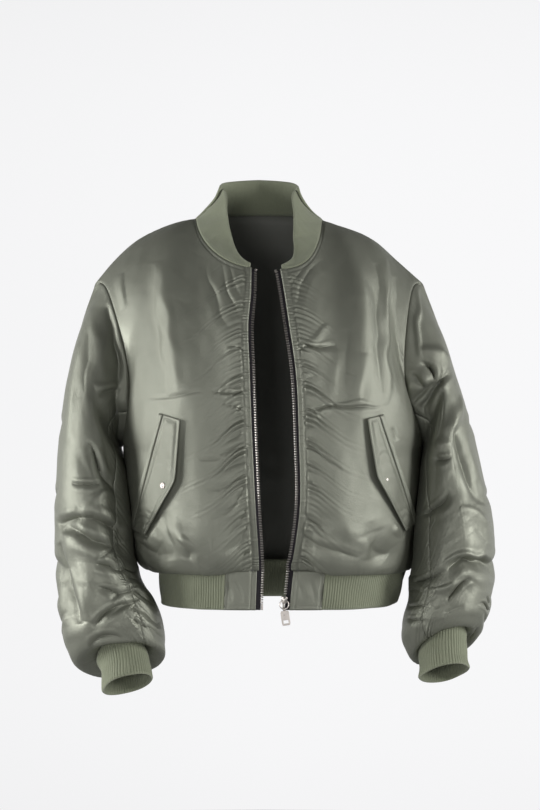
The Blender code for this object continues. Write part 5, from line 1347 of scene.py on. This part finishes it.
def knit_wall(name, node, sheet, ribs, relief=0.0):
    """Rib-knit wall: ribs outside, and inside between those, with a round fold at its free edge.

    The ribs keep their places down the cloth, so they draw together where it does.
    """
    fine = sheet.finer(ribs["finer"])
    middle = fine.aside[fine.points.shape[0] // 2]
    share = middle / middle[-1] * round(middle[-1] / ribs["pitch"])
    turn = np.sqrt(np.clip(1 - (1 - fine.down / KNIT_FOLD).clip(0) ** 2, 0.01, 1))
    raised = ribs["height"] * rise(fine.up / 0.005)
    sway = relief * rise(fine.up / 0.010) * drift(fine.points, 0.040, 91)
    outer = fine.points + fine.normals * ((KNIT / 2 + raised * rib(share)) * turn + sway)[..., None]
    inner = fine.points - fine.normals * ((KNIT / 2 + raised * rib(share + 0.5)) * turn - sway)[..., None]
    made = wall(name, outer, inner[::2, ::2], fine.normals, [FINISH["knit"]], cloth_map(fine), sheet.closed)
    return declare(made, node, sheet)


def collar(fronts, rear):
    """Collar from the neckline of the right front round the back to the left front."""
    neck = np.concatenate([fronts[-1].points[-1, :NECK_COLUMNS + 1],
                           rear.points[-1, SHOULDER_COLUMNS + 1:-SHOULDER_COLUMNS],
                           fronts[1].points[-1, NECK_COLUMNS - 1::-1]])
    share = np.concatenate([np.linspace(0, 1, NECK_COLUMNS + 1),
                            np.linspace(1, 2, BACK_NECK_COLUMNS + 1)[1:]])
    share = np.concatenate([share, share[:NECK_COLUMNS + BACK_NECK_COLUMNS][::-1]])
    lean = smooth(COLLAR["share"], COLLAR["lean"], share)[:, None]
    stand = smooth(COLLAR["share"], COLLAR["stand"], share)[:, None]
    plan = neck * [1, 1, 0]
    run = unit(np.gradient(plan, axis=0))
    inward = np.stack([-run[:, 1], run[:, 0], 0 * run[:, 0]], axis=1)
    inward *= np.sign((inward * -plan).sum(axis=1, keepdims=True))
    free = neck + inward * lean + np.array([0, 0, 1]) * stand
    v = np.linspace(0, 1, COLLAR_ROWS + 1)[:, None, None]
    rows = neck * (1 - v) + free * v
    height = np.linalg.norm(free - neck, axis=1)[None, :, None]
    rows += inward * np.sin(math.pi * v) * COLLAR_HOLLOW * height / COLLAR["stand"].max()
    knit_wall("knit_collar", "collar", Sheet(rows), COLLAR_RIBS, 0.0008)


def hem_sheet(fronts, rear):
    """Whole hem from the right opening round the back to the left one; its first row is the seam."""
    seam = np.concatenate([fronts[-1].points[0], rear.points[0, 1:-1], fronts[1].points[0, ::-1]])
    middle = (HEM["right"] + HEM["left"]) / 2
    back_cells = BACK_NECK_COLUMNS + SHOULDER_COLUMNS
    lower = [front_columns(quarter(OPENING[name][0], HEM[name], HEM["front"], HEM["height"]))
             for name in ("right", "left")]
    behind = [even(quarter(middle, HEM[name], HEM["back"], HEM["height"]), back_cells)
              for name in ("right", "left")]
    edge = np.concatenate([lower[0], behind[0][::-1][1:], behind[1][1:-1], lower[1][::-1]])
    v = np.linspace(0, 1, HEM_ROWS + 1)[:, None, None]
    return Sheet(seam + (edge - seam) * v)


def hem(whole):
    """Rib band and, at each end, a doubled satin tab with soft folds and sewn edges."""
    last = whole.points.shape[1] - 1
    band = whole.part(np.arange(EDGE_COLUMNS, last - EDGE_COLUMNS + 1))
    knit_wall("knit_hem", "hem_rib", band, HEM_RIBS, 0.0012)
    edges = {}
    for side, columns in ((-1, np.arange(EDGE_COLUMNS + 1)), (1, np.arange(last - EDGE_COLUMNS, last + 1))):
        name = side_name(side)
        tab = whole.part(columns)
        from_zip, from_rib = (tab.aside, tab.back) if side < 0 else (tab.back, tab.aside)
        relief = creases(tab.points, tab.normals, CREASES["hem_tab_" + name]) + broad(tab.points, 34 + side)
        relief = relief * rise((from_zip - 0.006) / 0.006) * rise(from_rib / 0.006)
        relief += groove(from_zip, ZIP_STRIP, 0.0016, 0.0011) + groove(from_rib, 0.0045, 0.0014, 0.0009)
        relief += groove(tab.down, 0.0055, 0.0014, 0.0008) + 0.0010 * bell((tab.down - 0.0028) / 0.0022)
        free_edges = ("aside" if side < 0 else "back", "down")
        made, outer = satin_wall("shell_hem_tab_" + name, tab, relief, free_edges)
        declare(made, "hem_tab_" + name, tab)
        edges[side] = (tab, outer)
    return edges


def cuff(side, tube):
    """Rib-knit cuff from the sleeve's last ring to its free rim."""
    angles = np.linspace(0, 2 * math.pi, 2 * ARMHOLE_ROWS + 1)
    loops = np.concatenate([tube.points[-1:], rings(CUFFS[side], angles)])
    places = lengths(loops.mean(axis=1))
    sheet = Sheet(smooth(places, loops, np.linspace(0, places[-1], CUFF_ROWS + 1)), closed=True)
    name = "cuff_" + side_name(side)
    knit_wall("knit_" + name, name, sheet, CUFF_RIBS, 0.0015)

# --- pockets ---
FLAP_ROWS = 72
FLAP_COLUMNS = 24
FLAP_CORNER = 0.03        # share of its length over which the flap's point is rounded
FLAP_STITCH = 0.0052      # sewn line inside its edges
FLAP_PUFF = 0.0010
WELT_COLUMNS = 8


def on_panel(sheet, x, height):
    """Points and outward normals of a front at these places, by Newton steps over its cells."""
    rows, columns = sheet.points.shape[:2]
    row, column = np.full(x.shape, 8.0 * FINE), np.full(x.shape, 10.0 * FINE)
    for _ in range(60):
        here = at_cell(sheet.points, row, column)
        over = at_cell(sheet.points, np.minimum(row + 2, rows - 1.01), column) - here
        aside = at_cell(sheet.points, row, np.minimum(column + 2, columns - 1.01)) - here
        wanted = np.stack([x - here[..., 0], height - here[..., 2]], axis=-1)
        determinant = over[..., 0] * aside[..., 2] - aside[..., 0] * over[..., 2]
        rows_on = (wanted[..., 0] * aside[..., 2] - aside[..., 0] * wanted[..., 1]) / determinant
        columns_on = (over[..., 0] * wanted[..., 1] - wanted[..., 0] * over[..., 2]) / determinant
        row = np.clip(row + 1.2 * rows_on, 0, rows - 1.01)
        column = np.clip(column + 1.2 * columns_on, 0, columns - 1.01)
    return at_cell(sheet.points, row, column), unit(at_cell(sheet.normals, row, column))


def at_cell(grid, row, column):
    """Values of a grid between its points."""
    i = np.minimum(row.astype(int), grid.shape[0] - 2)
    j = np.minimum(column.astype(int), grid.shape[1] - 2)
    v, u = (row - i)[..., None], (column - j)[..., None]
    return ((1 - v) * ((1 - u) * grid[i, j] + u * grid[i, j + 1])
            + v * ((1 - u) * grid[i + 1, j] + u * grid[i + 1, j + 1]))


def flap_outline(side):
    """Sewn edge and free edge of a flap as x and height, row by row, its point rounded."""
    corners = {name: np.array(place) for name, place in FLAP[side].items()}
    down = np.linspace(0, 1, FLAP_ROWS + 1)[:, None]
    sewn = corners["top"] * (1 - down) + corners["bottom"] * down
    straight = corners["free_top"] * (1 - down) + corners["free_bottom"] * down
    reach = corners["point"] - (corners["free_top"] + corners["free_bottom"]) / 2
    end = math.hypot(0.5, FLAP_CORNER)
    tent = (end - np.hypot(down - 0.5, FLAP_CORNER)) / (end - FLAP_CORNER)
    free = straight + reach * tent
    return sewn, free


def pocket(side, front_sheet):
    """Flap with a sewn line inside its edges, the welt beside it and a snap."""
    name = side_name(side)
    sewn, free = flap_outline(side)
    across = np.linspace(0, 1, FLAP_COLUMNS + 1)
    places = sewn[:, None] * (1 - across[:, None]) + free[:, None] * across[:, None]
    seat, outward = on_panel(front_sheet, places[..., 0], places[..., 1])
    base = SATIN / 2 + DOUBLED / 2 + FLAP_CLEAR
    stand = FLAP_LIFT * (FLAP_ENDS + (1 - FLAP_ENDS) * np.sin(math.pi * np.linspace(0, 1, FLAP_ROWS + 1)))
    flap = Sheet(seat + outward * (base + stand[:, None] * across ** 1.5)[..., None])
    edge = flap.edge()
    relief = FLAP_PUFF * rise((edge - FLAP_STITCH) / 0.006) + broad(flap.points, 44 + side) * 0.8
    relief += puckers(np.maximum(edge - FLAP_STITCH, 0), flap.up, 0.016, 0.012, 0.0016, 93 + side, slant=0.4)
    relief += groove(edge, FLAP_STITCH, 0.0013, 0.0009)
    turned = np.sqrt(np.clip(1 - (1 - edge / 0.0022).clip(0) ** 2, 0.04, 1))
    outer = flap.points + flap.normals * (DOUBLED / 2 * turned + relief * rise(edge / 0.002))[..., None]
    inner = (flap.points - flap.normals * (DOUBLED / 2 * turned)[..., None])[::4, ::4]
    made = wall("flap_" + name, outer, inner, flap.normals, [FINISH["satin"]], cloth_map(flap))
    declare(made, "pocket_flap_" + name, flap, "shell_front_" + name)
    stitches("stitches_flap_" + name,
             [sewn_line(flap, outer, edge_side, FLAP_STITCH, keep)
              for edge_side, keep in (("up", ("back",)), ("back", ("up", "down")), ("down", ("back",)))])

    outwards = np.array([side * WELT_SLOPE[0], WELT_SLOPE[1]])
    share = np.linspace(0, 1, WELT_COLUMNS + 1)[:, None]
    places = (sewn + outwards * WELT_APART)[:, None] + outwards * WELT * share
    seat, outward = on_panel(front_sheet, places[..., 0], places[..., 1])
    welt = Sheet(seat + outward * base)
    edge = welt.edge()
    turned = np.sqrt(np.clip(1 - (1 - edge / 0.0020).clip(0) ** 2, 0.04, 1))
    relief = broad(welt.points, 48 + side) * 0.4
    swell = (DOUBLED / 2 + 0.0006) * turned + relief * rise(edge / 0.002)
    outer = welt.points + welt.normals * swell[..., None]
    inner = (welt.points - welt.normals * (DOUBLED / 2 * turned)[..., None])[::4, ::4]
    made = wall("welt_" + name, outer, inner, welt.normals, [FINISH["satin"]], cloth_map(welt))
    declare(made, "pocket_welt_" + name, welt, "shell_front_" + name)

    row, column = (np.array(SNAP[side][n] * cells) for n, cells in ((0, FLAP_ROWS), (1, FLAP_COLUMNS)))
    foot, outward = at_cell(flap.points, row, column), unit(at_cell(flap.normals, row, column))
    snap(name, foot + outward * DOUBLED / 2, outward)

# --- metal ---
SNAP_PROFILE = table("radius rise",      # turned cap: foot, rim, hollow and domed middle
                     (0.0050, -0.0002), (0.0052, 0.0005), (0.0050, 0.0013), (0.0045, 0.0017),
                     (0.0040, 0.0015), (0.0036, 0.0012), (0.0031, 0.0013), (0.0024, 0.0018),
                     (0.0015, 0.0021), (0.0001, 0.0022))
SNAP_SIDES = 40


def turned_piece(name, foot, axis, profile, sides, body="root", closed=False):
    """Profile of radius and rise turned round an axis."""
    turn = full_turn(sides)
    side = unit(np.cross(axis, [0.13, 0.07, 1.0]))
    up = np.cross(axis, side)
    spoke = np.cos(turn)[:, None] * side + np.sin(turn)[:, None] * up
    points = foot + profile["radius"][:, None, None] * spoke + profile["rise"][:, None, None] * axis
    index = np.arange(points[..., 0].size).reshape(points.shape[:2])
    faces = quads(index, closed_rows=closed, closed_columns=True).tolist()
    if not closed:
        faces += [index[0].tolist()[::-1], index[-1].tolist()]
    flat = points.reshape(-1, 3)
    return piece(name, flat, facing_out(flat, faces, 1), [FINISH["metal"]], body, sharp=50)


def snap(name, foot, outward):
    """Domed snap cap with a turned rim."""
    made = turned_piece("cap_" + name, foot, outward, SNAP_PROFILE, SNAP_SIDES)
    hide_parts("snap_" + name)

# --- stitching ---
STITCH = dict(pitch=0.0032, length=0.0025, radius=0.00026)
STITCH_SIDES = 6
STITCH_RINGS = ((-0.5, 0.35), (-0.3, 0.95), (0.3, 0.95), (0.5, 0.35))   # place and thickness, as shares
ZIP_STITCHES = (0.0016, 0.0066)      # distances of the sewn lines from their edges
TAB_STITCHES = (0.0025, 0.0055)
TAB_FOOT_STITCH = 0.0055


def sewn_line(sheet, outer, side, place, keep=()):
    """Points on the outer face, and normals, at a distance from one edge and clear of others."""
    distance = getattr(sheet, side)
    if side in ("up", "down"):
        distance = distance.T
    order = slice(None) if side in ("up", "aside") else slice(None, None, -1)
    counts = np.arange(distance.shape[1], dtype=float)[order]
    across = np.array([np.interp(place, line[order], counts) for line in distance])
    along_it = np.arange(len(across), dtype=float)
    row, column = (across, along_it) if side in ("up", "down") else (along_it, across)
    clear = np.ones(len(row), bool)
    for other in keep:
        clear &= at_cell(getattr(sheet, other)[..., None], row, column)[:, 0] >= place
    return at_cell(outer, row, column)[clear], unit(at_cell(sheet.normals, row, column))[clear]


def stitches(name, lines):
    """Short rounded stitches along lines on a cloth, half sunk in it."""
    points, faces = [], []
    turn = full_turn(STITCH_SIDES)
    for line, normals in lines:
        places = lengths(line)
        count = int(places[-1] / STITCH["pitch"])
        if count < 2:
            continue
        at = (np.arange(count) + 0.5) * places[-1] / count
        middle, outward = (np.stack([np.interp(at, places, values[:, axis]) for axis in range(3)], axis=1)
                           for values in (line, normals))
        way = unit(np.gradient(middle, axis=0))
        side = unit(np.cross(outward, way))
        outward = np.cross(way, side)
        for end, thick in STITCH_RINGS:
            ring_centre = middle + way * STITCH["length"] * end + outward * STITCH["radius"] * (thick - 0.6)
            spoke = np.cos(turn)[:, None] * side[:, None] + np.sin(turn)[:, None] * outward[:, None]
            points.append(ring_centre[:, None] + spoke * STITCH["radius"] * thick)
        start = sum(part.size // 3 for part in points[:-4])
        index = start + np.arange(4 * count * STITCH_SIDES).reshape(4, count, STITCH_SIDES)
        for number in range(count):
            one = index[:, number]
            faces += capped(one)
    points = np.concatenate([part.reshape(-1, 3) for part in points])
    return piece(name, points, faces, [FINISH["thread"]])

# --- zip ---
TAPE_COLUMNS = 8
TOOTH_PITCH = 0.0038
TOOTH = table("across depth height",     # rings from the tape to the tip: place, and half its sizes
              (-0.0030, 0.00095, 0.00085), (-0.0026, 0.00115, 0.00100), (-0.0001, 0.00130, 0.00105),
              (0.0009, 0.00120, 0.00085), (0.0016, 0.00085, 0.00050))
CHAMFER = 0.45            # share of a tooth's half height cut from its corners
FOOT_ROUND = 0.0006


def edge_lines(hem_part, front_sheet, side):
    """Cloth edge beside the zip from the hem up, with its directions to the opening and outwards."""
    column, inside = (0, FINE) if side < 0 else (-1, -1 - FINE)
    line, inner, outward = (np.concatenate([low[::-1], high[1:]]) for low, high in (
        (hem_part.points[:, column], front_sheet.points[:, 0]),
        (hem_part.points[:, inside], front_sheet.points[:, FINE]),
        (hem_part.normals[:, column], front_sheet.normals[:, 0])))
    across = unit(line - inner)
    outward = unit(outward)
    outward = unit(outward - (outward * across).sum(axis=1, keepdims=True) * across)
    return line, across, outward


def at_heights(line, heights):
    """Values of a rising line's points, or of directions along it, at heights."""
    return lambda values: np.stack([np.interp(heights, line[:, 2], column) for column in values.T], axis=1)


def zip_side(side, line, across, outward):
    """Tape behind the cloth's edge, teeth clamped on its bead and a stop at the top."""
    name = side_name(side)
    behind = outward * (SATIN / 2 + TAPE / 2 + TAPE_BEHIND)
    reach = np.linspace(-TAPE_UNDER, TAPE_SHOWS, TAPE_COLUMNS + 1)[:, None]
    tape = Sheet(line[:, None] - behind[:, None] + across[:, None] * reach)
    tape.normals = np.repeat(outward[:, None], TAPE_COLUMNS + 1, axis=1)
    bead = 1 + 0.5 * bell((tape.back - 0.0007) / 0.0006)
    outer = tape.points + tape.normals * (TAPE / 2 * bead)[..., None]
    inner = tape.points - tape.normals * (TAPE / 2 * bead)[..., None]
    made = wall("tape_" + name, outer, inner, tape.normals, [FINISH["tape"]], cloth_map(tape))
    declare(made, "zip_tape_" + name, tape, "shell_front_" + name)

    width = TOOTH_ROW[0]
    centre = line - behind + across * (TAPE_SHOWS + GAP + width / 2)
    start = centre[0, 2] + ZIP_FOOT + (SLIDER_SIZE[2] + GAP if side > 0 else 0)
    heights = np.arange(start + TOOTH_PITCH / 2 + (TOOTH_PITCH / 2 if side > 0 else 0),
                        ZIP_TOP - STOP[2] / 2 - 0.001, TOOTH_PITCH)
    pick = at_heights(centre, heights)
    middle, a, o = pick(centre), unit(pick(across)), unit(pick(outward))
    u = unit(np.cross(a, o)) * np.sign(np.cross(a, o)[:, 2:])
    cut = 1 - CHAMFER
    shape = np.array([(1, cut), (cut, 1), (-cut, 1), (-1, cut), (-1, -cut), (-cut, -1), (cut, -1), (1, -cut)])
    rings_at = (middle[:, None] + a[:, None] * TOOTH["across"][:, None])[:, :, None]
    points = (rings_at + o[:, None, None] * (TOOTH["depth"][:, None] * shape[:, 0])[..., None]
              + u[:, None, None] * (TOOTH["height"][:, None] * shape[:, 1])[..., None])
    index = np.arange(points[..., 0].size).reshape(points.shape[:3])
    faces = []
    for one in index:
        faces += capped(one)
    flat = points.reshape(-1, 3)
    if volume(flat, faces[:len(faces) // len(index)]) < 0:
        faces = [face[::-1] for face in faces]
    teeth = piece("teeth_" + name, flat, faces, [FINISH["metal"]], sharp=35)
    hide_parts("zip_teeth_" + name)

    top = at_heights(centre, np.array([ZIP_TOP]))
    a, o = unit(top(across))[0], unit(top(outward))[0]
    block("stop_" + name, top(centre)[0], STOP, (a, o, np.cross(a, o)), "zip_stop_" + name)
    foot_height = np.array([centre[0, 2] + ZIP_FOOT / 2])
    foot = at_heights(centre, foot_height)
    node, size = ("zip_pin", PIN) if side < 0 else ("zip_box", BOX)
    a, o = unit(foot(across))[0], unit(foot(outward))[0]
    block(node[4:], foot(centre)[0], (*size, ZIP_FOOT), (a, o, np.cross(a, o)), node)
    return centre


def volume(points, faces):
    """Volume inside closed faces, a sum of triple products."""
    corners = [points[face] for face in faces]
    return sum(np.cross(corner[1:-1], corner[2:]).sum(axis=0) @ corner[0] for corner in corners) / 6


def rounded(name, points, faces, round_off, body="root"):
    """Metal piece whose edges are rounded off."""
    made = piece(name, points, faces if volume(points, faces) > 0 else [face[::-1] for face in faces],
                 [FINISH["metal"]], body, sharp=40)
    step = made.modifiers.new("round", "BEVEL")
    step.width, step.segments, step.limit_method = round_off, 3, "ANGLE"
    step.harden_normals = True
    return made


def block(name, centre, size, axes, node):
    """Rectangular block about a centre, along three directions, with rounded edges."""
    half = [np.array(axis) * length / 2 for axis, length in zip(axes, size)]
    signs = [(i, j, k) for i in (-1, 1) for j in (-1, 1) for k in (-1, 1)]
    points = np.array([centre + i * half[0] + j * half[1] + k * half[2] for i, j, k in signs])
    faces = [[0, 1, 3, 2], [4, 6, 7, 5], [0, 4, 5, 1], [2, 3, 7, 6], [0, 2, 6, 4], [1, 5, 7, 3]]
    made = rounded(name, points, faces, FOOT_ROUND)
    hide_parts(node)

# --- slider, ring and tab ---
SLIDER_ROWS = table("up width depth",    # from its foot to its head: half width and half depth
                    (-1.00, 0.50, 0.70), (-0.90, 0.68, 0.92), (-0.60, 0.80, 1.00), (-0.10, 0.90, 1.00),
                    (0.30, 1.00, 1.00), (0.70, 1.00, 1.00), (0.92, 0.80, 0.94), (1.00, 0.55, 0.75))
PLATE_SIDES = 24
BRIDGE_STEPS = 25         # sections along the bridge, and points round each
BRIDGE_SIDES = 12
WIRE_STEPS = (48, 14)     # round the ring and round its wire
TAB_STEPS = 64
EYE_STEPS = 28
TAB_ROUND = 0.0004        # edges rounded off the tab and its eye
EYE_ROUND = 0.0003


def slider(middle):
    """Slider: two domed plates on a post, and a bridge in front; returns the hinge in its hole."""
    width, depth, height = SLIDER_SIZE
    half, plate = depth / 2, SLIDER_PLATE
    turn = full_turn(PLATE_SIDES)
    flat = squared(np.cos(turn), 0.5)
    bulge = squared(np.sin(turn), 0.7)
    points, faces = [], []
    for sign in (-1, 1):
        start = sum(len(part) for part in points)
        rows = np.stack([
            SLIDER_ROWS["width"][:, None] * flat * width / 2,
            sign * (half - plate / 2) + SLIDER_ROWS["depth"][:, None] * bulge * plate / 2,
            SLIDER_ROWS["up"][:, None] * height / 2 + 0 * flat], axis=-1)
        index = start + np.arange(rows[..., 0].size).reshape(rows.shape[:2])
        points.append(rows.reshape(-1, 3))
        faces += capped(index)
    points = np.concatenate(points) + middle
    body = piece("slider_plates", points, facing_out(points, faces, 2), [FINISH["metal"]], sharp=60)
    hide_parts("zip_slider")

    post = SLIDER_POST / 2
    inside = half - plate * 0.6
    axes = ((1, 0, 0), (0, 1, 0), (0, 0, 1))
    size = (2 * post, 2 * inside, height * 0.62)
    block("slider_post", middle + [0, 0, height * 0.12], size, axes, "zip_slider")

    length, bar, hole = BRIDGE["length"] / 2, BRIDGE["bar"], BRIDGE["hole"]
    places = np.array([(-half + BRIDGE["sunk"], -length), (-half - hole * 0.55, -length * 0.92),
                       (-half - hole - bar / 2, -length * 0.5), (-half - hole - bar / 2, length * 0.5),
                       (-half - hole * 0.55, length * 0.92), (-half + BRIDGE["sunk"], length)])
    path = smooth(np.linspace(0, 1, len(places)), places, np.linspace(0, 1, BRIDGE_STEPS))
    way = unit(np.gradient(path, axis=0))
    across = np.stack([-way[:, 1], way[:, 0]], axis=1)
    around = full_turn(BRIDGE_SIDES)
    x = squared(np.cos(around), 0.6) * BRIDGE["width"] / 2
    offset = squared(np.sin(around), 0.8) * bar / 2
    rows = np.stack([np.broadcast_to(x, (BRIDGE_STEPS, BRIDGE_SIDES)), path[:, :1] + across[:, :1] * offset,
                     path[:, 1:] + across[:, 1:] * offset], axis=-1) + middle
    index = np.arange(BRIDGE_STEPS * BRIDGE_SIDES).reshape(BRIDGE_STEPS, BRIDGE_SIDES)
    faces = capped(index)
    points = rows.reshape(-1, 3)
    bridge = piece("slider_bridge", points, facing_out(points, faces, 1), [FINISH["metal"]], sharp=60)
    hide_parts("zip_slider")
    return middle + np.array([0, -half - hole / 2, 0])


def facing_out(points, faces, parts):
    """Faces of equal closed parts, each turned outwards."""
    count = len(faces) // parts
    turned = []
    for part in range(parts):
        own = faces[part * count:(part + 1) * count]
        turned += own if volume(points, own) > 0 else [face[::-1] for face in own]
    return turned


def ring(hinge):
    """Round wire ring that hangs from the bridge, its top on the hinge."""
    around, wire = (full_turn(count) for count in WIRE_STEPS)
    radius = RING_RADIUS + RING_WIRE * np.cos(wire)
    rows = np.stack([radius * np.sin(around)[:, None], RING_WIRE * np.sin(wire) + 0 * around[:, None],
                     radius * np.cos(around)[:, None] - RING_RADIUS], axis=-1) + hinge
    index = np.arange(rows[..., 0].size).reshape(WIRE_STEPS)
    faces = quads(index, closed_rows=True, closed_columns=True).tolist()
    points = rows.reshape(-1, 3)
    made = piece("ring_wire", points, facing_out(points, faces, 1), [FINISH["metal"]], "ring")
    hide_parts("pull_ring")


def tab(hinge):
    """Flat tab with a window near its foot, held by an eye round the ring's wire."""
    half, length, thick = TAB["width"] / 2, TAB["length"], TAB["thickness"] / 2
    eye_out = EYE["hole"] + EYE["wall"]
    window, foot = TAB["window_width"] / 2, length - TAB["foot"]
    middle = foot - TAB["window_height"] / 2
    turn = full_turn(TAB_STEPS)
    outline = squarish(turn, half, (length - eye_out + EYE["sunk"]) / 2, 0.28)
    outline[:, 1] -= (length + eye_out - EYE["sunk"]) / 2
    hole = squarish(turn, window, TAB["window_height"] / 2, 0.22) - [0, middle]
    profile = ((outline, 1.0, -1), (outline, 1.0, 1), (hole, 1.0, 1), (hole, 1.0, -1))
    rows = np.array([np.stack([line[:, 0], 0 * turn + side * thick, line[:, 1]], axis=1) * [grow, 1, 1]
                     for line, grow, side in profile])
    index = np.arange(rows[..., 0].size).reshape(rows.shape[:2])
    points = turned_about_y(rows.reshape(-1, 3), -TAB["lean"]) + hinge
    plate_faces = quads(index, closed_rows=True, closed_columns=True).tolist()
    plate = rounded("tab_plate", points, plate_faces, TAB_ROUND, "tab")
    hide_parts("pull_tab")

    loop = full_turn(EYE_STEPS)
    circle = np.stack([0 * loop, np.cos(loop), np.sin(loop)], axis=1)
    aside = np.array([EYE["width"] / 2, 0, 0])
    rows = np.stack([circle * eye_out - aside, circle * eye_out + aside, circle * EYE["hole"] + aside,
                     circle * EYE["hole"] - aside])
    index = np.arange(rows[..., 0].size).reshape(rows.shape[:2])
    points = turned_about_y(rows.reshape(-1, 3), -TAB["lean"]) + hinge
    faces = quads(index, closed_rows=True, closed_columns=True).tolist()
    eye = rounded("tab_eye", points, faces, EYE_ROUND, "tab")
    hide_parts("pull_tab")


def squarish(turn, half_width, half_height, power):
    """Closed outline between a rectangle and an ellipse; a small power has sharp corners."""
    return np.stack([squared(np.cos(turn), power) * half_width,
                     squared(np.sin(turn), power) * half_height], axis=1)


def turned_about_y(points, degrees):
    """Points turned about the Y axis through the origin."""
    c, s = math.cos(math.radians(degrees)), math.sin(math.radians(degrees))
    x, y, z = points.T
    return np.stack([x * c + z * s, y, z * c - x * s], axis=1)


def sew(fronts, faces_out, tabs):
    """Rows of stitches beside the zip, below the collar and round the hem tabs."""
    lines = []
    for side, sheet in fronts.items():
        lines += [sewn_line(sheet, faces_out[side], "aside", place) for place in ZIP_STITCHES]
        line, normals = sewn_line(sheet, faces_out[side], "down", NECK_STRIP)
        cut = NECK_COLUMNS + 1
        lines.append((line[:cut], normals[:cut]))
        tab_sheet, outer = tabs[side]
        from_zip, from_rib = ("aside", "back") if side < 0 else ("back", "aside")
        lines += [sewn_line(tab_sheet, outer, from_zip, place) for place in ZIP_STITCHES]
        lines += [sewn_line(tab_sheet, outer, from_rib, place) for place in TAB_STITCHES]
        lines.append(sewn_line(tab_sheet, outer, "down", TAB_FOOT_STITCH))
    stitches("stitches_body", lines)

# --- the jacket ---
fronts, settled_fronts, faces_out = {}, {}, {}
for way in (-1, 1):
    fronts[way], settled_fronts[way], faces_out[way] = front(way)
rear = back()
tubes = {way: sleeve(way) for way in (-1, 1)}
collar(fronts, rear)
whole_hem = hem_sheet(fronts, rear)
tabs = hem(whole_hem)
for way in (-1, 1):
    cuff(way, tubes[way])
    pocket(way, fronts[way])
    centre = zip_side(way, *edge_lines(tabs[way][0], fronts[way], way))
sew(settled_fronts, faces_out, tabs)
foot = centre[0, 2] + ZIP_FOOT + SLIDER_SIZE[2] / 2
hinge = slider(at_heights(centre, np.array([foot]))(centre)[0])
ring(hinge)
tab(hinge - np.array([0, 0, 2 * RING_RADIUS]))

# --- studio ---
CAMERA = (0.0174, -3.8, -0.305)
VIEW_HEIGHT = 1.28        # metres the picture shows at the jacket's middle
FLOOR = -1.45
FLOOR_RADIUS = 3
FLOOR_SIDES = 96
BACKDROP = (248, 248, 249)
HORIZON = 0.36            # height at which the pale band has faded
OVERHEAD = 0.14           # share of the light straight above
FRONT_DIM = 0.66          # how much of it is missing in front of the jacket and at its right
SIDE_DIM = 0.25


def area_light(name, place, target, size, power, colour=(1.0, 1.0, 1.0)):
    """Soft rectangular light aimed at a point."""
    lamp = bpy.data.lights.new(name, "AREA")
    lamp.shape, lamp.size, lamp.size_y, lamp.energy, lamp.color = "RECTANGLE", *size, power, colour
    made = bpy.data.objects.new(name, lamp)
    made.location = place
    made.rotation_euler = (Vector(target) - Vector(place)).to_track_quat("-Z", "Y").to_euler()
    bpy.context.scene.collection.objects.link(made)


class World(Finish):
    """Light from all round: pale at the horizon, dim overhead, with darker sides."""

    def __init__(self, level):
        self.world = bpy.data.worlds.new("studio")
        self.world.use_nodes = True
        bpy.context.scene.world = self.world
        self.tree = self.world.node_tree
        self.tree.nodes.clear()
        place = self.node("TexCoord", {})
        split = self.node("SeparateXYZ", {}, Vector=Value(self, place.outputs["Generated"]))
        x, y, z = (Value(self, split.outputs[axis]) for axis in "XYZ")
        band = ((z * (1 / HORIZON)) ** 4.0 * -1.0).math("EXPONENT")
        toward = (y * -1.0).math("MAXIMUM", 0.0)
        right_side = (x * -1.0).math("MAXIMUM", 0.0)
        around = 1.0 - toward * FRONT_DIM - right_side * SIDE_DIM
        light = self.node("Background", {}, Color=(*linear(*BACKDROP), 1.0),
                          Strength=(band * (1.0 - OVERHEAD) + OVERHEAD) * around * level)
        output = self.node("OutputWorld", {})
        self.tree.links.new(light.outputs[0], output.inputs[0])


lens = bpy.data.cameras.new("camera")
lens.sensor_fit = "VERTICAL"
lens.angle = 2 * math.atan(VIEW_HEIGHT / 2 / -CAMERA[1])
eye = bpy.data.objects.new("camera", lens)
eye.location = CAMERA
eye.rotation_euler = (math.pi / 2, 0, 0)
bpy.context.scene.collection.objects.link(eye)
bpy.context.scene.camera = eye
bpy.context.scene.view_settings.view_transform = "Standard"

World(1.0)
area_light("key", (-2.9, -0.5, 0.0), (0, 0, -0.3), (0.9, 1.7), 80)
area_light("fill", (3.0, -1.2, 0.2), (0, 0, -0.3), (0.8, 1.7), 75)
area_light("front", (-1.0, -3.9, -0.45), (0, 0, -0.35), (1.3, 0.7), 30)

turn = full_turn(FLOOR_SIDES)
rim = np.stack([FLOOR_RADIUS * np.cos(turn), FLOOR_RADIUS * np.sin(turn), 0 * turn + FLOOR], axis=1)
floor_finish = Finish("floor", (165, 165, 166), 0.9)
floor = piece("floor", rim, [list(range(FLOOR_SIDES))], [floor_finish.material])
